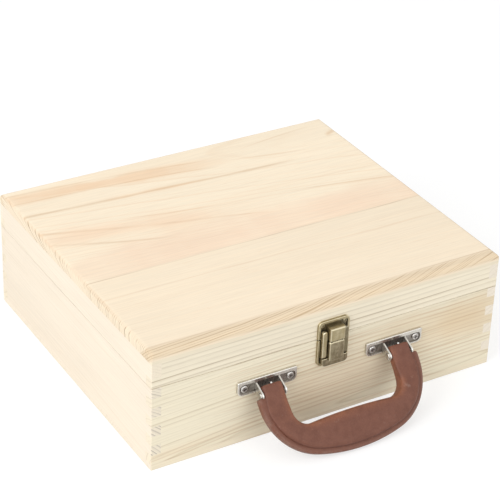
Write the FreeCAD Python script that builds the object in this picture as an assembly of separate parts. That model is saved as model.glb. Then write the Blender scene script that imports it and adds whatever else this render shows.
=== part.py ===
"""Wooden storage box: a finger-jointed pine case with a hinged lid, a toggle latch and a carrying handle.

Millimetres. The origin is the centre of the underside, +Z is up, and the front face looks along -Y.
"""
import FreeCAD, Part
import math
import os

Vector = FreeCAD.Vector

# Wooden case
BOX_WIDTH = 340.0
BOX_DEPTH = 293.0
WALL = 9.0
BOTTOM = 6.0
BASE_WALL_HEIGHT = 74.6
LID_GAP = 0.4
LID_WALL_HEIGHT = 23.0
LID_TOP = 9.0
LID_EDGE_ROUND = 4.0
CORNER_ROUND = 0.8
FRONT_BOARD_DEPTH = 119.0
FINGER = 9.3

# Clearances
PIN_RUN = 0.06
SCREW_FIT = 0.03
SEAM_SETBACK = 0.3

# How far a cut runs past the face it opens, and how closely two places agree
OVERCUT = 1.0
TOUCH = 1e-6

# Wood screws: head radius, head height, shank radius and depth in the wood.
# The cross slot's width and span are shares of the head's radius, and its rounding of the head's height.
BRACKET_SCREW_HEAD = 3.3
BRACKET_SCREW_RISE = 1.7
BRACKET_SCREW_SHANK = 1.5
LATCH_SCREW_HEAD = 1.9
LATCH_SCREW_RISE = 0.9
LATCH_SCREW_SHANK = 1.0
HINGE_SCREW_HEAD = 2.5
HINGE_SCREW_RISE = 1.1
HINGE_SCREW_SHANK = 1.3
SCREW_BITE = 6.0
CROSS_SLOT = 0.28
CROSS_SPAN = 1.2
HEAD_ROUND = 0.7

# Handle brackets
BRACKET_SPACING = 126.0
BRACKET_LENGTH = 57.0
BRACKET_HEIGHT = 13.8
BRACKET_Z = 55.5
BRACKET_FLOOR = 1.2
BRACKET_RIM = 2.6
BRACKET_RIM_WIDTH = 1.7
BRACKET_RAIL = 3.2
BRACKET_LOWER_CORNER = 5.0
BRACKET_UPPER_CORNER = 1.5
BRACKET_EDGE_ROUND = 0.7
BRACKET_SCREW_INSET = 6.35
BRACKET_SCREW_DROP = 0.5
EAR_SHEET = 1.4
EAR_TIP = 4.0
EAR_CLEARANCE = 0.75
PIVOT_OUT = 11.0
PIVOT_DROP = 5.5
PIVOT_PIN = 1.75
PIVOT_HEAD = 3.0
PIVOT_HEAD_RISE = 1.1
PIVOT_HEAD_ROUND = 0.65

# Carrying handle, measured from the pivot axis with the handle hanging straight down
LEG_WIDTH = 19.0
LEG_TAIL = 7.0
LEG_THICKNESS = 10.0
LEG_TAPER_START = 10.0
LEG_TAPER_END = 36.0
GRIP_REACH = 58.9
GRIP_DEPTH = 25.6
GRIP_THICKNESS = 15.0
GRIP_BOW = 150.0
OUTER_BEND = 46.0
INNER_BEND = 11.0
GRIP_EDGE_ROUND = 5.0
COVER = 1.3
FLANGE = 6.3
FLANGE_THICKNESS = 3.6
FLANGE_START = 5.2
FLANGE_ROOT = 6.0
FLANGE_ROUND = 1.2
CORE_SHEET = 1.6
CORE_WIDTH = 6.6
CORE_BEND = 24.0
CORE_TIP = 1.8
FLOOR_CLEARANCE = 0.2

# Toggle latch
LATCH_WIDTH = 30.6
CATCH_HEIGHT = 16.8
LATCH_BASE_HEIGHT = 25.7
LATCH_PLATE = 1.0
LATCH_RIM = 2.4
LATCH_RIM_WIDTH = 2.0
LATCH_CORNER = 4.5
LATCH_EDGE_ROUND = 0.6
CATCH_SCREW_GAP = 0.4
TONGUE_WIDTH = 14.6
TONGUE_OUT = 9.0
TONGUE_TOP_INSET = 4.8
TONGUE_FALL = 0.5
TONGUE_ROUND = 1.5
TONGUE_BACK = 4.0
LEVER_OUT = 8.8
LEVER_KNUCKLE = 2.0
LEVER_GAP = 1.1
LEVER_SHEET = 1.2
LEVER_TAB_DROP = 2.6
LEVER_FOOT = 7.6
LEVER_FOOT_INSET = 0.6
LEVER_SKIRT = 3.0
LEVER_PIN = 0.7
LEVER_ROUND = 1.4
LATCH_EAR = 1.2
LATCH_EAR_RADIUS = 1.2
LATCH_SLOT = 0.6
LATCH_SIDE_GAP = 0.2
BAIL_PIVOT_DROP = 12.7
BAIL_PIVOT_OUT = 3.8
BAIL_DEPTH = 3.8
BAIL_RISE = 24.2
BAIL_EDGE_ROUND = 1.0
BAIL_FOOT_GAP = 0.3
BAIL_PIN = 0.8
BASE_SCREW_UP = 5.6
BASE_SCREW_LOW = 17.6

# Hinges on the back
HINGE_INSET = 65.0
HINGE_WIDTH = 34.0
HINGE_LEAF = 14.0
HINGE_SHEET = 1.2
HINGE_BARREL = 2.6
HINGE_BARREL_GAP = 0.3
HINGE_PIN = 1.3
HINGE_KNUCKLES = 5
HINGE_KNUCKLE_GAP = 0.25
HINGE_LEAF_CORNER = 3.0
HINGE_SCREW_SPACING = 22.0

# Worked-out places
FRONT = -BOX_DEPTH / 2
BACK = BOX_DEPTH / 2
SIDE = BOX_WIDTH / 2
SEAM = BOTTOM + BASE_WALL_HEIGHT
LID_FOOT = SEAM + LID_GAP
LID_SHOULDER = LID_FOOT + LID_WALL_HEIGHT
PIVOT_Z = BRACKET_Z - PIVOT_DROP
LEG_CENTRE = BRACKET_SPACING / 2
FLANGE_REACH = GRIP_REACH + FLANGE
HINGE_CENTRE = SIDE - HINGE_INSET


def block(x0, x1, y0, y1, z0, z1):
    """Box between two corners."""
    return Part.makeBox(x1 - x0, y1 - y0, z1 - z0, Vector(x0, y0, z0))


def rod_x(radius, x0, x1, y, z):
    """Cylinder along X from x0 to x1."""
    return Part.makeCylinder(radius, x1 - x0, Vector(x0, y, z), Vector(1, 0, 0))


def rod_y(radius, x, y0, y1, z):
    """Cylinder along Y from y0 to y1."""
    return Part.makeCylinder(radius, y1 - y0, Vector(x, y0, z), Vector(0, 1, 0))


def out(distance):
    """Y of a point that stands this far in front of the front wall."""
    return FRONT - distance


def front_block(x0, x1, near, far, z0, z1):
    """Box standing in front of the front wall, from near to far out of it."""
    return block(x0, x1, out(far), out(near), z0, z1)


def front_prism(outline, x0, x1):
    """Polygon of (distance out, height) points, drawn along X."""
    points = [Vector(x0, out(far), z) for far, z in outline]
    face = Part.Face(Part.makePolygon(points + points[:1]))
    return face.extrude(Vector(x1 - x0, 0, 0))


def joined(shapes):
    """One solid from shapes that meet or overlap."""
    whole = shapes[0].multiFuse(shapes[1:])
    return whole.removeSplitter()


def along(edge, axis):
    """True where an edge runs along the axis named by its index."""
    sizes = (edge.BoundBox.XLength, edge.BoundBox.YLength, edge.BoundBox.ZLength)
    flat = [size < TOUCH for number, size in enumerate(sizes) if number != axis]
    return all(flat)


def rounded(shape, radius, pick):
    """Shape with the picked edges rounded."""
    return shape.makeFillet(radius, [edge for edge in shape.Edges if pick(edge)])


def on_plane_y(edge, y):
    """True where an edge lies flat in the plane at this Y."""
    return abs(edge.BoundBox.YMin - y) < TOUCH and abs(edge.BoundBox.YMax - y) < TOUCH


def save(name, shape):
    """Write one node."""
    shape.exportStep("parts/" + name + ".step")


def mirrored_x(shape):
    """Copy on the other side of the middle plane."""
    return shape.mirror(Vector(0, 0, 0), Vector(1, 0, 0))


def screw(head, rise, shank, grip, x, y, z, facing):
    """Pan-head cross-slot wood screw seated at a point, with its head facing -Y or +Y (facing -1 or 1)."""
    cap = Part.makeCylinder(head, rise)
    cap = rounded(cap, rise * HEAD_ROUND, lambda edge: edge.BoundBox.ZMin > rise / 2 and not along(edge, 2))
    half_slot = head * CROSS_SLOT / 2
    half_span = head * CROSS_SPAN / 2
    depth = rise / 2
    for wide, long in ((half_slot, half_span), (half_span, half_slot)):
        cap = cap.cut(block(-wide, wide, -long, long, rise - depth, rise + depth))
    stem = Part.makeCylinder(shank, grip, Vector(0, 0, -grip))
    body = joined([cap, stem])
    body.rotate(Vector(0, 0, 0), Vector(1, 0, 0), -90 * facing)
    body.translate(Vector(x, y, z))
    return body


def pilot_holes(wall, places, shank, y, facing):
    """Wall with the screws' holes, at (x, z) places, drilled from the face at y."""
    depth = SCREW_BITE + SCREW_FIT
    start, end = sorted((y, y - facing * depth))
    for x, z in places:
        wall = wall.cut(rod_y(shank + SCREW_FIT, x, start, end, z))
    return wall


def finger_sizes(height):
    """Heights of the fingers, counted from the seam: the last one takes what is left over."""
    count = max(1, int(height // FINGER))
    return [FINGER] * (count - 1) + [height - FINGER * (count - 1)]


def finger_walls(foot, height, seam, owners):
    """Front, back, left and right boards of one finger-jointed ring.

    The fingers are counted from the seam, at the ring's top or foot, and belong in turn to the owners,
    which are the long boards and the side boards.
    """
    top = foot + height
    outer = block(-SIDE, SIDE, FRONT, BACK, foot, top)
    outer = rounded(outer, CORNER_ROUND, lambda edge: along(edge, 2))
    inner = block(-SIDE + WALL, SIDE - WALL, FRONT + WALL, BACK - WALL, foot, top)
    ring = outer.cut(inner)
    owned = {"long": [], "side": []}
    away = -1 if seam == top else 1
    level = seam
    for number, size in enumerate(finger_sizes(height)):
        low, high = sorted((level, level + away * size))
        for x0 in (-SIDE, SIDE - WALL):
            for y0 in (FRONT, BACK - WALL):
                owned[owners[number % 2]].append(block(x0, x0 + WALL, y0, y0 + WALL, low, high))
        level += away * size
    slabs = {
        "front": (block(-SIDE, SIDE, FRONT, FRONT + WALL, foot, top), owned["side"]),
        "back": (block(-SIDE, SIDE, BACK - WALL, BACK, foot, top), owned["side"]),
        "left": (block(-SIDE, -SIDE + WALL, FRONT, BACK, foot, top), owned["long"]),
        "right": (block(SIDE - WALL, SIDE, FRONT, BACK, foot, top), owned["long"]),
    }
    return {name: ring.common(slab).cut(others) for name, (slab, others) in slabs.items()}


def bottom_board():
    """Board under the walls, flush with their faces."""
    board = block(-SIDE, SIDE, FRONT, BACK, 0, BOTTOM)
    return rounded(board, CORNER_ROUND, lambda edge: along(edge, 2) or edge.BoundBox.ZMax < BOTTOM / 2)


def lid_boards():
    """Front and rear boards of the lid top, with the outer upper edges eased."""
    top = LID_SHOULDER + LID_TOP
    panel = block(-SIDE, SIDE, FRONT, BACK, LID_SHOULDER, top)
    panel = rounded(panel, CORNER_ROUND, lambda edge: along(edge, 2))
    panel = rounded(panel, LID_EDGE_ROUND, lambda edge: edge.BoundBox.ZMin > top - LID_TOP / 2)
    seam = FRONT + FRONT_BOARD_DEPTH
    front = panel.common(block(-SIDE, SIDE, FRONT, seam, LID_SHOULDER, top))
    rear = panel.common(block(-SIDE, SIDE, seam, BACK, LID_SHOULDER, top))
    return front, rear


def tangent_point(point, centre, radius, turn):
    """Touch point of the line from a point to a circle, on the side given by turn (1 or -1)."""
    offset = point - centre
    angle = math.atan2(offset.z, -offset.y) + turn * math.acos(radius / offset.Length)
    return centre + Vector(0, -math.cos(angle), math.sin(angle)) * radius


def ear(x0, x1):
    """Clevis ear: a sheet that narrows from the bracket's plate to the round tip about the pivot."""
    high = Vector(x0, FRONT, BRACKET_Z + BRACKET_HEIGHT / 2 - BRACKET_RAIL)
    low = Vector(x0, FRONT, BRACKET_Z - BRACKET_HEIGHT / 2)
    pivot = Vector(x0, out(PIVOT_OUT), PIVOT_Z)
    upper = tangent_point(high, pivot, EAR_TIP, -1)
    lower = tangent_point(low, pivot, EAR_TIP, 1)
    away = pivot - (high + low) * 0.5
    tip = pivot + away.normalize() * EAR_TIP
    edges = [
        Part.makeLine(high, upper),
        Part.Arc(upper, tip, lower).toShape(),
        Part.makeLine(lower, low),
        Part.makeLine(low, high),
    ]
    return Part.Face(Part.Wire(edges)).extrude(Vector(x1 - x0, 0, 0))


def bracket_screw_places(centre):
    """Screw places (x, z) of a bracket about its centre."""
    half = BRACKET_LENGTH / 2 - BRACKET_SCREW_INSET
    z = BRACKET_Z - BRACKET_SCREW_DROP
    return [(centre - half, z), (centre + half, z)]


def bracket(centre):
    """Stamped plate with a rim round two screw pockets, a sunk window and two clevis ears."""
    half = BRACKET_LENGTH / 2
    low = BRACKET_Z - BRACKET_HEIGHT / 2
    high = BRACKET_Z + BRACKET_HEIGHT / 2
    window = LEG_WIDTH / 2 + EAR_CLEARANCE
    plate = front_block(-half, half, 0, BRACKET_RIM, low, high)
    plate = rounded(plate, BRACKET_LOWER_CORNER,
                    lambda edge: along(edge, 1) and edge.BoundBox.ZMax < BRACKET_Z)
    plate = rounded(plate, BRACKET_UPPER_CORNER,
                    lambda edge: along(edge, 1) and edge.BoundBox.ZMin > BRACKET_Z)
    plate = rounded(plate, BRACKET_EDGE_ROUND, lambda edge: on_plane_y(edge, out(BRACKET_RIM)))
    pocket_start = window + EAR_SHEET
    pocket_end = half - BRACKET_RIM_WIDTH
    pocket = front_block(pocket_start, pocket_end, BRACKET_FLOOR, BRACKET_RIM + OVERCUT,
                         low + BRACKET_RIM_WIDTH, high - BRACKET_RAIL)
    corner = BRACKET_LOWER_CORNER - BRACKET_RIM_WIDTH
    pocket_middle = (pocket_start + pocket_end) / 2
    pocket = rounded(pocket, corner, lambda edge: along(edge, 1) and edge.BoundBox.XMin > pocket_middle)
    sunk = front_block(-window, window, BRACKET_FLOOR, BRACKET_RIM + OVERCUT,
                       low - OVERCUT, high - BRACKET_RAIL)
    plate = plate.cut([pocket, mirrored_x(pocket), sunk])
    plate = joined([plate, ear(window, window + EAR_SHEET), ear(-window - EAR_SHEET, -window)])
    reach = window + EAR_SHEET
    plate = plate.cut(rod_x(PIVOT_PIN, -reach, reach, out(PIVOT_OUT), PIVOT_Z))
    for x, z in bracket_screw_places(0):
        plate = plate.cut(rod_y(BRACKET_SCREW_SHANK + SCREW_FIT, x, out(BRACKET_RIM), FRONT, z))
    plate.translate(Vector(centre, 0, 0))
    return plate


def pivot_pin(centre):
    """Rivet through both ears of a bracket and the handle's end."""
    half = LEG_WIDTH / 2 + EAR_CLEARANCE + EAR_SHEET
    y = out(PIVOT_OUT)
    shaft = rod_x(PIVOT_PIN, centre - half, centre + half, y, PIVOT_Z)
    heads = []
    for side in (-1, 1):
        start, end = sorted((centre + side * half, centre + side * (half + PIVOT_HEAD_RISE)))
        head = rod_x(PIVOT_HEAD, start, end, y, PIVOT_Z)
        face = end if side > 0 else start
        heads.append(rounded(head, PIVOT_HEAD_ROUND, lambda edge: abs(edge.BoundBox.Center.x - face) < TOUCH))
    return joined([shaft] + heads)


def bracket_screws(centre):
    """The two screws of a bracket."""
    grip = BRACKET_FLOOR + SCREW_BITE
    return Part.makeCompound([
        screw(BRACKET_SCREW_HEAD, BRACKET_SCREW_RISE, BRACKET_SCREW_SHANK, grip, x, out(BRACKET_FLOOR), z, -1)
        for x, z in bracket_screw_places(centre)
    ])


def hanging(x, reach):
    """Point of the handle's middle plane, this far below the pivot while the handle hangs straight down."""
    return Vector(x, out(PIVOT_OUT), PIVOT_Z - reach)


def outer_edges(offset, start):
    """Outer side of the handle from the right leg's end, round the bow, to the left leg's end."""
    half = LEG_CENTRE + LEG_WIDTH / 2 + offset
    bend = OUTER_BEND + offset
    bow = GRIP_BOW + offset
    bend_x = half - bend
    bow_centre = GRIP_REACH + offset - bow
    bend_centre = bow_centre + math.sqrt((bow - bend) ** 2 - bend_x ** 2)
    lean = math.atan2(bend_x, bend_centre - bow_centre)
    middle = (lean + math.pi / 2) / 2
    meet_x = bow * math.sin(lean)
    meet = bow_centre + bow * math.cos(lean)
    turn_x = bend_x + bend * math.sin(middle)
    turn = bend_centre + bend * math.cos(middle)
    foot = GRIP_REACH + offset
    return [
        Part.makeLine(hanging(half, start), hanging(half, bend_centre)),
        Part.Arc(hanging(half, bend_centre), hanging(turn_x, turn), hanging(meet_x, meet)).toShape(),
        Part.Arc(hanging(meet_x, meet), hanging(0, foot), hanging(-meet_x, meet)).toShape(),
        Part.Arc(hanging(-meet_x, meet), hanging(-turn_x, turn), hanging(-half, bend_centre)).toShape(),
        Part.makeLine(hanging(-half, bend_centre), hanging(-half, start)),
    ]


def inner_edges(half, reach, bend, start):
    """Straight-sided U from the left leg's end to the right leg's end, with round corners."""
    middle = bend * (1 - math.sqrt(0.5))
    return [
        Part.makeLine(hanging(-half, start), hanging(-half, reach - bend)),
        Part.Arc(hanging(-half, reach - bend), hanging(-half + middle, reach - middle),
                 hanging(-half + bend, reach)).toShape(),
        Part.makeLine(hanging(-half + bend, reach), hanging(half - bend, reach)),
        Part.Arc(hanging(half - bend, reach), hanging(half - middle, reach - middle),
                 hanging(half, reach - bend)).toShape(),
        Part.makeLine(hanging(half, reach - bend), hanging(half, start)),
    ]


def u_plate(outside, inside, thickness):
    """Flat U between an outer and an inner run of edges, centred on the handle's middle plane."""
    edges = outside + inside
    ends = [vertex.Point for run in (outside, inside) for edge in run for vertex in edge.Vertexes]
    top = max(point.z for point in ends)
    for sign in (-1, 1):
        leg = [point for point in ends if abs(point.z - top) < TOUCH and point.x * sign > 0]
        edges.append(Part.makeLine(leg[0], leg[1]))
    face = Part.Face(Part.Wire(Part.sortEdges(edges)[0]))
    face.translate(Vector(0, thickness / 2, 0))
    return face.extrude(Vector(0, -thickness, 0))


def grip_body(inset):
    """Rounded U of the grip: flat legs that swell into the thicker hand bar. Inset shrinks it all round."""
    tail = -LEG_TAIL + inset
    outside = outer_edges(-inset, tail)
    inside = inner_edges(LEG_CENTRE - LEG_WIDTH / 2 + inset, GRIP_REACH - GRIP_DEPTH + inset,
                         INNER_BEND + inset, tail)
    bar = GRIP_THICKNESS / 2 - inset
    leg = LEG_THICKNESS / 2 - inset
    plate = u_plate(outside, inside, bar * 2)
    middle = out(PIVOT_OUT)
    plate = rounded(plate, GRIP_EDGE_ROUND - inset,
                    lambda edge: not along(edge, 1) and abs(edge.BoundBox.Center.y - middle) > bar / 2)
    low = PIVOT_Z - GRIP_REACH - GRIP_THICKNESS
    high = PIVOT_Z + LEG_TAIL + GRIP_THICKNESS
    taper_start = PIVOT_Z - LEG_TAPER_START
    taper_end = PIVOT_Z - LEG_TAPER_END
    side = [(leg, high), (leg, taper_start), (bar, taper_end), (bar, low)]
    profile = [(PIVOT_OUT + far, z) for far, z in side] + [(PIVOT_OUT - far, z) for far, z in reversed(side)]
    span = LEG_CENTRE + LEG_WIDTH
    return plate.common(front_prism(profile, -span, span))


def flange_body():
    """Thin sewn edge of the cover, round the outside of the handle from a little below the pivots."""
    outside = outer_edges(FLANGE, -LEG_TAIL)
    inside = outer_edges(-FLANGE_ROOT, -LEG_TAIL)
    plate = u_plate(outside, inside, FLANGE_THICKNESS)
    span = LEG_CENTRE + LEG_WIDTH
    ends = front_block(-span, span, PIVOT_OUT - FLANGE_THICKNESS, PIVOT_OUT + FLANGE_THICKNESS,
                       PIVOT_Z - FLANGE_START, PIVOT_Z + LEG_TAIL + OVERCUT)
    plate = plate.cut(ends)
    return rounded(plate, FLANGE_ROUND, lambda edge: not along(edge, 1) and not along(edge, 0))


def core_strip():
    """Bent steel strip inside the handle, with a cross hole for each pivot pin."""
    half = CORE_SHEET / 2
    reach = GRIP_REACH - GRIP_DEPTH / 2
    tail = -LEG_TAIL - CORE_TIP
    outside = inner_edges(LEG_CENTRE + half, reach + half, CORE_BEND + half, tail)
    inside = inner_edges(LEG_CENTRE - half, reach - half, CORE_BEND - half, tail)
    return u_plate(outside, inside, CORE_WIDTH)


def handle_pieces():
    """Core strip, padding and leather cover, turned out until the sewn edge rests on the floor."""
    span = LEG_CENTRE + LEG_WIDTH
    bore = rod_x(PIVOT_PIN + PIN_RUN, -span, span, out(PIVOT_OUT), PIVOT_Z)
    core = core_strip()
    inner = grip_body(COVER)
    cover = joined([grip_body(0), flange_body()])
    pieces = {
        "handle_core_strip": core.cut(bore),
        "handle_padding": inner.cut([core, bore]),
        "handle_cover": cover.cut([inner, core, bore]),
    }
    for shape in pieces.values():
        shape.rotate(Vector(0, out(PIVOT_OUT), PIVOT_Z), Vector(1, 0, 0), -rest_tilt())
    return pieces


def rest_tilt():
    """Angle in degrees from hanging straight down at which the sewn edge comes to rest on the floor."""
    half = FLANGE_THICKNESS / 2
    radius = math.hypot(FLANGE_REACH, half)
    drop = min(1.0, (PIVOT_Z - FLOOR_CLEARANCE) / radius)
    return math.degrees(math.atan2(half, FLANGE_REACH) + math.acos(drop))


def latch_plate(low, high, round_top):
    """Latch plate with a raised rim on its sides and its rounded end."""
    half = LATCH_WIDTH / 2
    plate = front_block(-half, half, 0, LATCH_RIM, low, high)
    middle = (low + high) / 2
    plate = rounded(plate, LATCH_CORNER,
                    lambda edge: along(edge, 1) and (edge.BoundBox.ZMin > middle) == round_top)
    plate = rounded(plate, LATCH_EDGE_ROUND, lambda edge: on_plane_y(edge, out(LATCH_RIM)))
    inner = half - LATCH_RIM_WIDTH
    floor_low = low - OVERCUT if round_top else low + LATCH_RIM_WIDTH
    floor_high = high - LATCH_RIM_WIDTH if round_top else high + OVERCUT
    pocket = front_block(-inner, inner, LATCH_PLATE, LATCH_RIM + OVERCUT, floor_low, floor_high)
    pocket = rounded(pocket, LATCH_CORNER - LATCH_RIM_WIDTH,
                     lambda edge: along(edge, 1) and (edge.BoundBox.ZMin > middle) == round_top)
    return plate.cut(pocket)


def catch_screw_places():
    """Screw places (x, z) in the catch plate's upper corners."""
    inset = LATCH_RIM_WIDTH + CATCH_SCREW_GAP + LATCH_SCREW_HEAD
    z = tongue_foot() + CATCH_HEIGHT - inset
    x = LATCH_WIDTH / 2 - inset
    return [(-x, z), (x, z)]


def tongue_foot():
    """Height of the tongue's lower end, level with the catch plate's."""
    return LID_FOOT + SEAM_SETBACK


def catch_plate():
    """Lid half of the latch: a rimmed plate with the raised tongue that the bail's arms stand beside."""
    low = tongue_foot()
    high = low + CATCH_HEIGHT
    plate = latch_plate(low, high, True)
    top = high - TONGUE_TOP_INSET
    profile = [
        (0, top),
        (TONGUE_OUT, top - TONGUE_FALL),
        (TONGUE_OUT, low),
        (TONGUE_BACK, low),
        (0, low + TONGUE_BACK),
    ]
    half = TONGUE_WIDTH / 2
    tongue = front_prism(profile, -half, half)
    face = out(TONGUE_OUT)
    tongue = rounded(tongue, TONGUE_ROUND,
                     lambda edge: on_plane_y(edge, face) and edge.BoundBox.ZMax > low + TONGUE_ROUND)
    plate = joined([plate, tongue])
    for x, z in catch_screw_places():
        plate = plate.cut(rod_y(LATCH_SCREW_SHANK + SCREW_FIT, x, out(LATCH_RIM), FRONT, z))
    return plate


def lever_pivot():
    """Distance out and height of the lever's pivot."""
    return LEVER_OUT - LEVER_KNUCKLE, tongue_foot() - LEVER_GAP - LEVER_KNUCKLE


def bail_pivot():
    """Distance out and height of the bail's pivot on the lever."""
    return BAIL_PIVOT_OUT, lever_pivot()[1] - BAIL_PIVOT_DROP


def base_screw_places():
    """Screw places (x, z) of the latch's lower plate, under the lever."""
    z = lever_pivot()[1]
    return [(0, z - BASE_SCREW_UP), (0, z - BASE_SCREW_LOW)]


def latch_ears():
    """X spans of the two ears that carry the lever's pin, just inside the lever's cheeks."""
    outer = TONGUE_WIDTH / 2 - LEVER_SHEET - LATCH_SIDE_GAP
    return [(-outer, -outer + LATCH_EAR), (outer - LATCH_EAR, outer)]


def latch_base():
    """Case half of the latch: a rimmed plate with two ears for the lever's pin."""
    high = SEAM - SEAM_SETBACK
    plate = latch_plate(high - LATCH_BASE_HEIGHT, high, False)
    far, z = lever_pivot()
    pieces = [plate]
    for x0, x1 in latch_ears():
        pieces.append(rod_x(LATCH_EAR_RADIUS, x0, x1, out(far), z))
        pieces.append(front_block(x0, x1, 0, far, z - LATCH_EAR_RADIUS, z + LATCH_EAR_RADIUS))
    half = TONGUE_WIDTH / 2
    plate = joined(pieces).cut(rod_x(LEVER_PIN, -half, half, out(far), z))
    for x, screw_z in base_screw_places():
        plate = plate.cut(rod_y(LATCH_SCREW_SHANK + SCREW_FIT, x, out(LATCH_RIM), FRONT, screw_z))
    return plate


def bail_span():
    """Inner and outer distance of a bail arm from the middle."""
    inner = TONGUE_WIDTH / 2 + LATCH_SLOT
    outer = LATCH_WIDTH / 2 - LATCH_RIM_WIDTH - LATCH_SLOT
    return inner, outer


def lever():
    """Latch lever: a raised pad that curls over its pin, side cheeks, and a wide thumb foot with a skirt.

    Sockets behind the curl take the lower plate's ears and let the lever swing out.
    """
    far, z = lever_pivot()
    bail_far, bail_z = bail_pivot()
    pad = TONGUE_WIDTH / 2
    foot_top = bail_z - BAIL_DEPTH / 2 - BAIL_FOOT_GAP
    foot_low = foot_top - LEVER_FOOT
    foot_half = bail_span()[1]
    foot_out = LEVER_OUT - LEVER_TAB_DROP
    back = foot_out - LEVER_SKIRT
    cheek_back = bail_far - BAIL_DEPTH / 2
    face = LEVER_OUT - LEVER_SHEET
    shell = front_block(-foot_half, foot_half, back, foot_out, foot_low, foot_top)
    shell = rounded(shell, LATCH_CORNER - LEVER_FOOT_INSET,
                    lambda edge: along(edge, 1) and edge.BoundBox.ZMax < (foot_low + foot_top) / 2)
    shell = rounded(shell, LATCH_EDGE_ROUND, lambda edge: on_plane_y(edge, out(foot_out)))
    hollow = front_block(-foot_half + LEVER_SHEET, foot_half - LEVER_SHEET,
                         back - OVERCUT, foot_out - LEVER_SHEET,
                         foot_low + LEVER_SHEET, foot_top + OVERCUT)
    foot = shell.cut(hollow)
    pad_foot = foot_top - LEVER_SHEET
    tray = front_block(-pad, pad, cheek_back, LEVER_OUT, pad_foot, z)
    knuckle = rod_x(LEVER_KNUCKLE, -pad, pad, out(far), z)
    tray = joined([tray, knuckle])
    tray = rounded(tray, LEVER_ROUND,
                   lambda edge: along(edge, 2) and on_plane_y(edge, out(LEVER_OUT)))
    inner = pad - LEVER_SHEET
    tray = tray.cut(front_block(-inner, inner, cheek_back - OVERCUT, face,
                                pad_foot - OVERCUT, z - LEVER_KNUCKLE))
    body = joined([foot, tray])
    socket = LATCH_EAR_RADIUS + LATCH_SIDE_GAP
    for ear_start, ear_end in latch_ears():
        x0 = ear_start - LATCH_SIDE_GAP
        x1 = ear_end + LATCH_SIDE_GAP
        high = z + LEVER_KNUCKLE + OVERCUT
        body = body.cut([
            rod_x(socket, x0, x1, out(far), z),
            front_block(x0, x1, 0, far, z - LEVER_KNUCKLE - LATCH_SIDE_GAP, high),
            front_block(x0, x1, far, far + socket, z, high),
        ])
    body = body.cut(rod_x(LEVER_PIN + PIN_RUN, -pad, pad, out(far), z))
    return body.cut(rod_x(BAIL_PIN + PIN_RUN, -pad, pad, out(bail_far), bail_z))


def lever_pin():
    """Pin of the lever, held in the lower plate's ears."""
    far, z = lever_pivot()
    half = TONGUE_WIDTH / 2
    return rod_x(LEVER_PIN, -half, half, out(far), z)


def bail_pin():
    """Cross pin that joins the bail's arms through the lever's cheeks."""
    far, z = bail_pivot()
    inner, outer = bail_span()
    half = (inner + outer) / 2
    return rod_x(BAIL_PIN, -half, half, out(far), z)


def bail():
    """The bail's two arms, one each side of the tongue and the lever's pad, with round ends."""
    far, z = bail_pivot()
    inner, outer = bail_span()
    radius = (outer - inner) / 2
    centre = (inner + outer) / 2
    near = far - BAIL_DEPTH / 2
    top = z + BAIL_RISE
    eye = rod_x(BAIL_DEPTH / 2, inner, outer, out(far), z)
    bar = front_block(inner, outer, near, near + BAIL_DEPTH, z, top - radius)
    tip = rod_y(radius, centre, out(near + BAIL_DEPTH), out(near), top - radius)
    arm = joined([eye, bar, tip])
    face = out(near + BAIL_DEPTH)
    arm = rounded(arm, BAIL_EDGE_ROUND,
                  lambda edge: abs(edge.BoundBox.YMax - face) < TOUCH and edge.BoundBox.ZMax > z + radius)
    arm = arm.cut(bail_pin())
    return Part.makeCompound([arm, mirrored_x(arm)])


def latch_screws(places):
    """Small screws of a latch plate."""
    grip = LATCH_PLATE + SCREW_BITE
    return Part.makeCompound([
        screw(LATCH_SCREW_HEAD, LATCH_SCREW_RISE, LATCH_SCREW_SHANK, grip, x, out(LATCH_PLATE), z, -1)
        for x, z in places
    ])


def hinge_axis():
    """Y and Z of the hinge pins."""
    return BACK + HINGE_BARREL_GAP + HINGE_BARREL, SEAM + LID_GAP / 2


def hinge_screw_places(centre, side):
    """Screw places (x, z) of a leaf above (side 1) or below (side -1) the seam."""
    half = HINGE_SCREW_SPACING / 2
    z = hinge_axis()[1] + side * (HINGE_BARREL + HINGE_LEAF / 2)
    return [(centre - half, z), (centre + half, z)]


def hinge_leaf(centre, side):
    """One leaf: above the seam (side 1) on the lid, or below it (side -1) on the case."""
    y, axis_z = hinge_axis()
    start = HINGE_BARREL + HINGE_BARREL_GAP
    end = HINGE_BARREL + HINGE_LEAF
    low, high = sorted((axis_z + side * start, axis_z + side * end))
    left = centre - HINGE_WIDTH / 2
    sheet = block(left, left + HINGE_WIDTH, BACK, BACK + HINGE_SHEET, low, high)
    free_end = axis_z + side * end
    sheet = rounded(sheet, HINGE_LEAF_CORNER,
                    lambda edge: along(edge, 1) and abs(edge.BoundBox.Center.z - free_end) < TOUCH)
    pieces = [sheet]
    pitch = HINGE_WIDTH / HINGE_KNUCKLES
    first = 1 if side > 0 else 0
    for number in range(first, HINGE_KNUCKLES, 2):
        x0 = left + number * pitch + HINGE_KNUCKLE_GAP / 2
        x1 = left + (number + 1) * pitch - HINGE_KNUCKLE_GAP / 2
        pieces.append(rod_x(HINGE_BARREL, x0, x1, y, axis_z))
        tab_low, tab_high = sorted((axis_z, axis_z + side * (start + HINGE_SHEET)))
        tab = block(x0, x1, BACK, BACK + HINGE_SHEET, tab_low, tab_high)
        pieces.append(tab)
    leaf = joined(pieces)
    bore = HINGE_PIN + (PIN_RUN if side > 0 else 0)
    leaf = leaf.cut(rod_x(bore, left, left + HINGE_WIDTH, y, axis_z))
    for x, z in hinge_screw_places(centre, side):
        leaf = leaf.cut(rod_y(HINGE_SCREW_SHANK + SCREW_FIT, x, BACK, BACK + HINGE_SHEET, z))
    return leaf


def hinge_pin(centre):
    """Pin through a hinge's knuckles."""
    y, z = hinge_axis()
    half = HINGE_WIDTH / 2
    return rod_x(HINGE_PIN, centre - half, centre + half, y, z)


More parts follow.
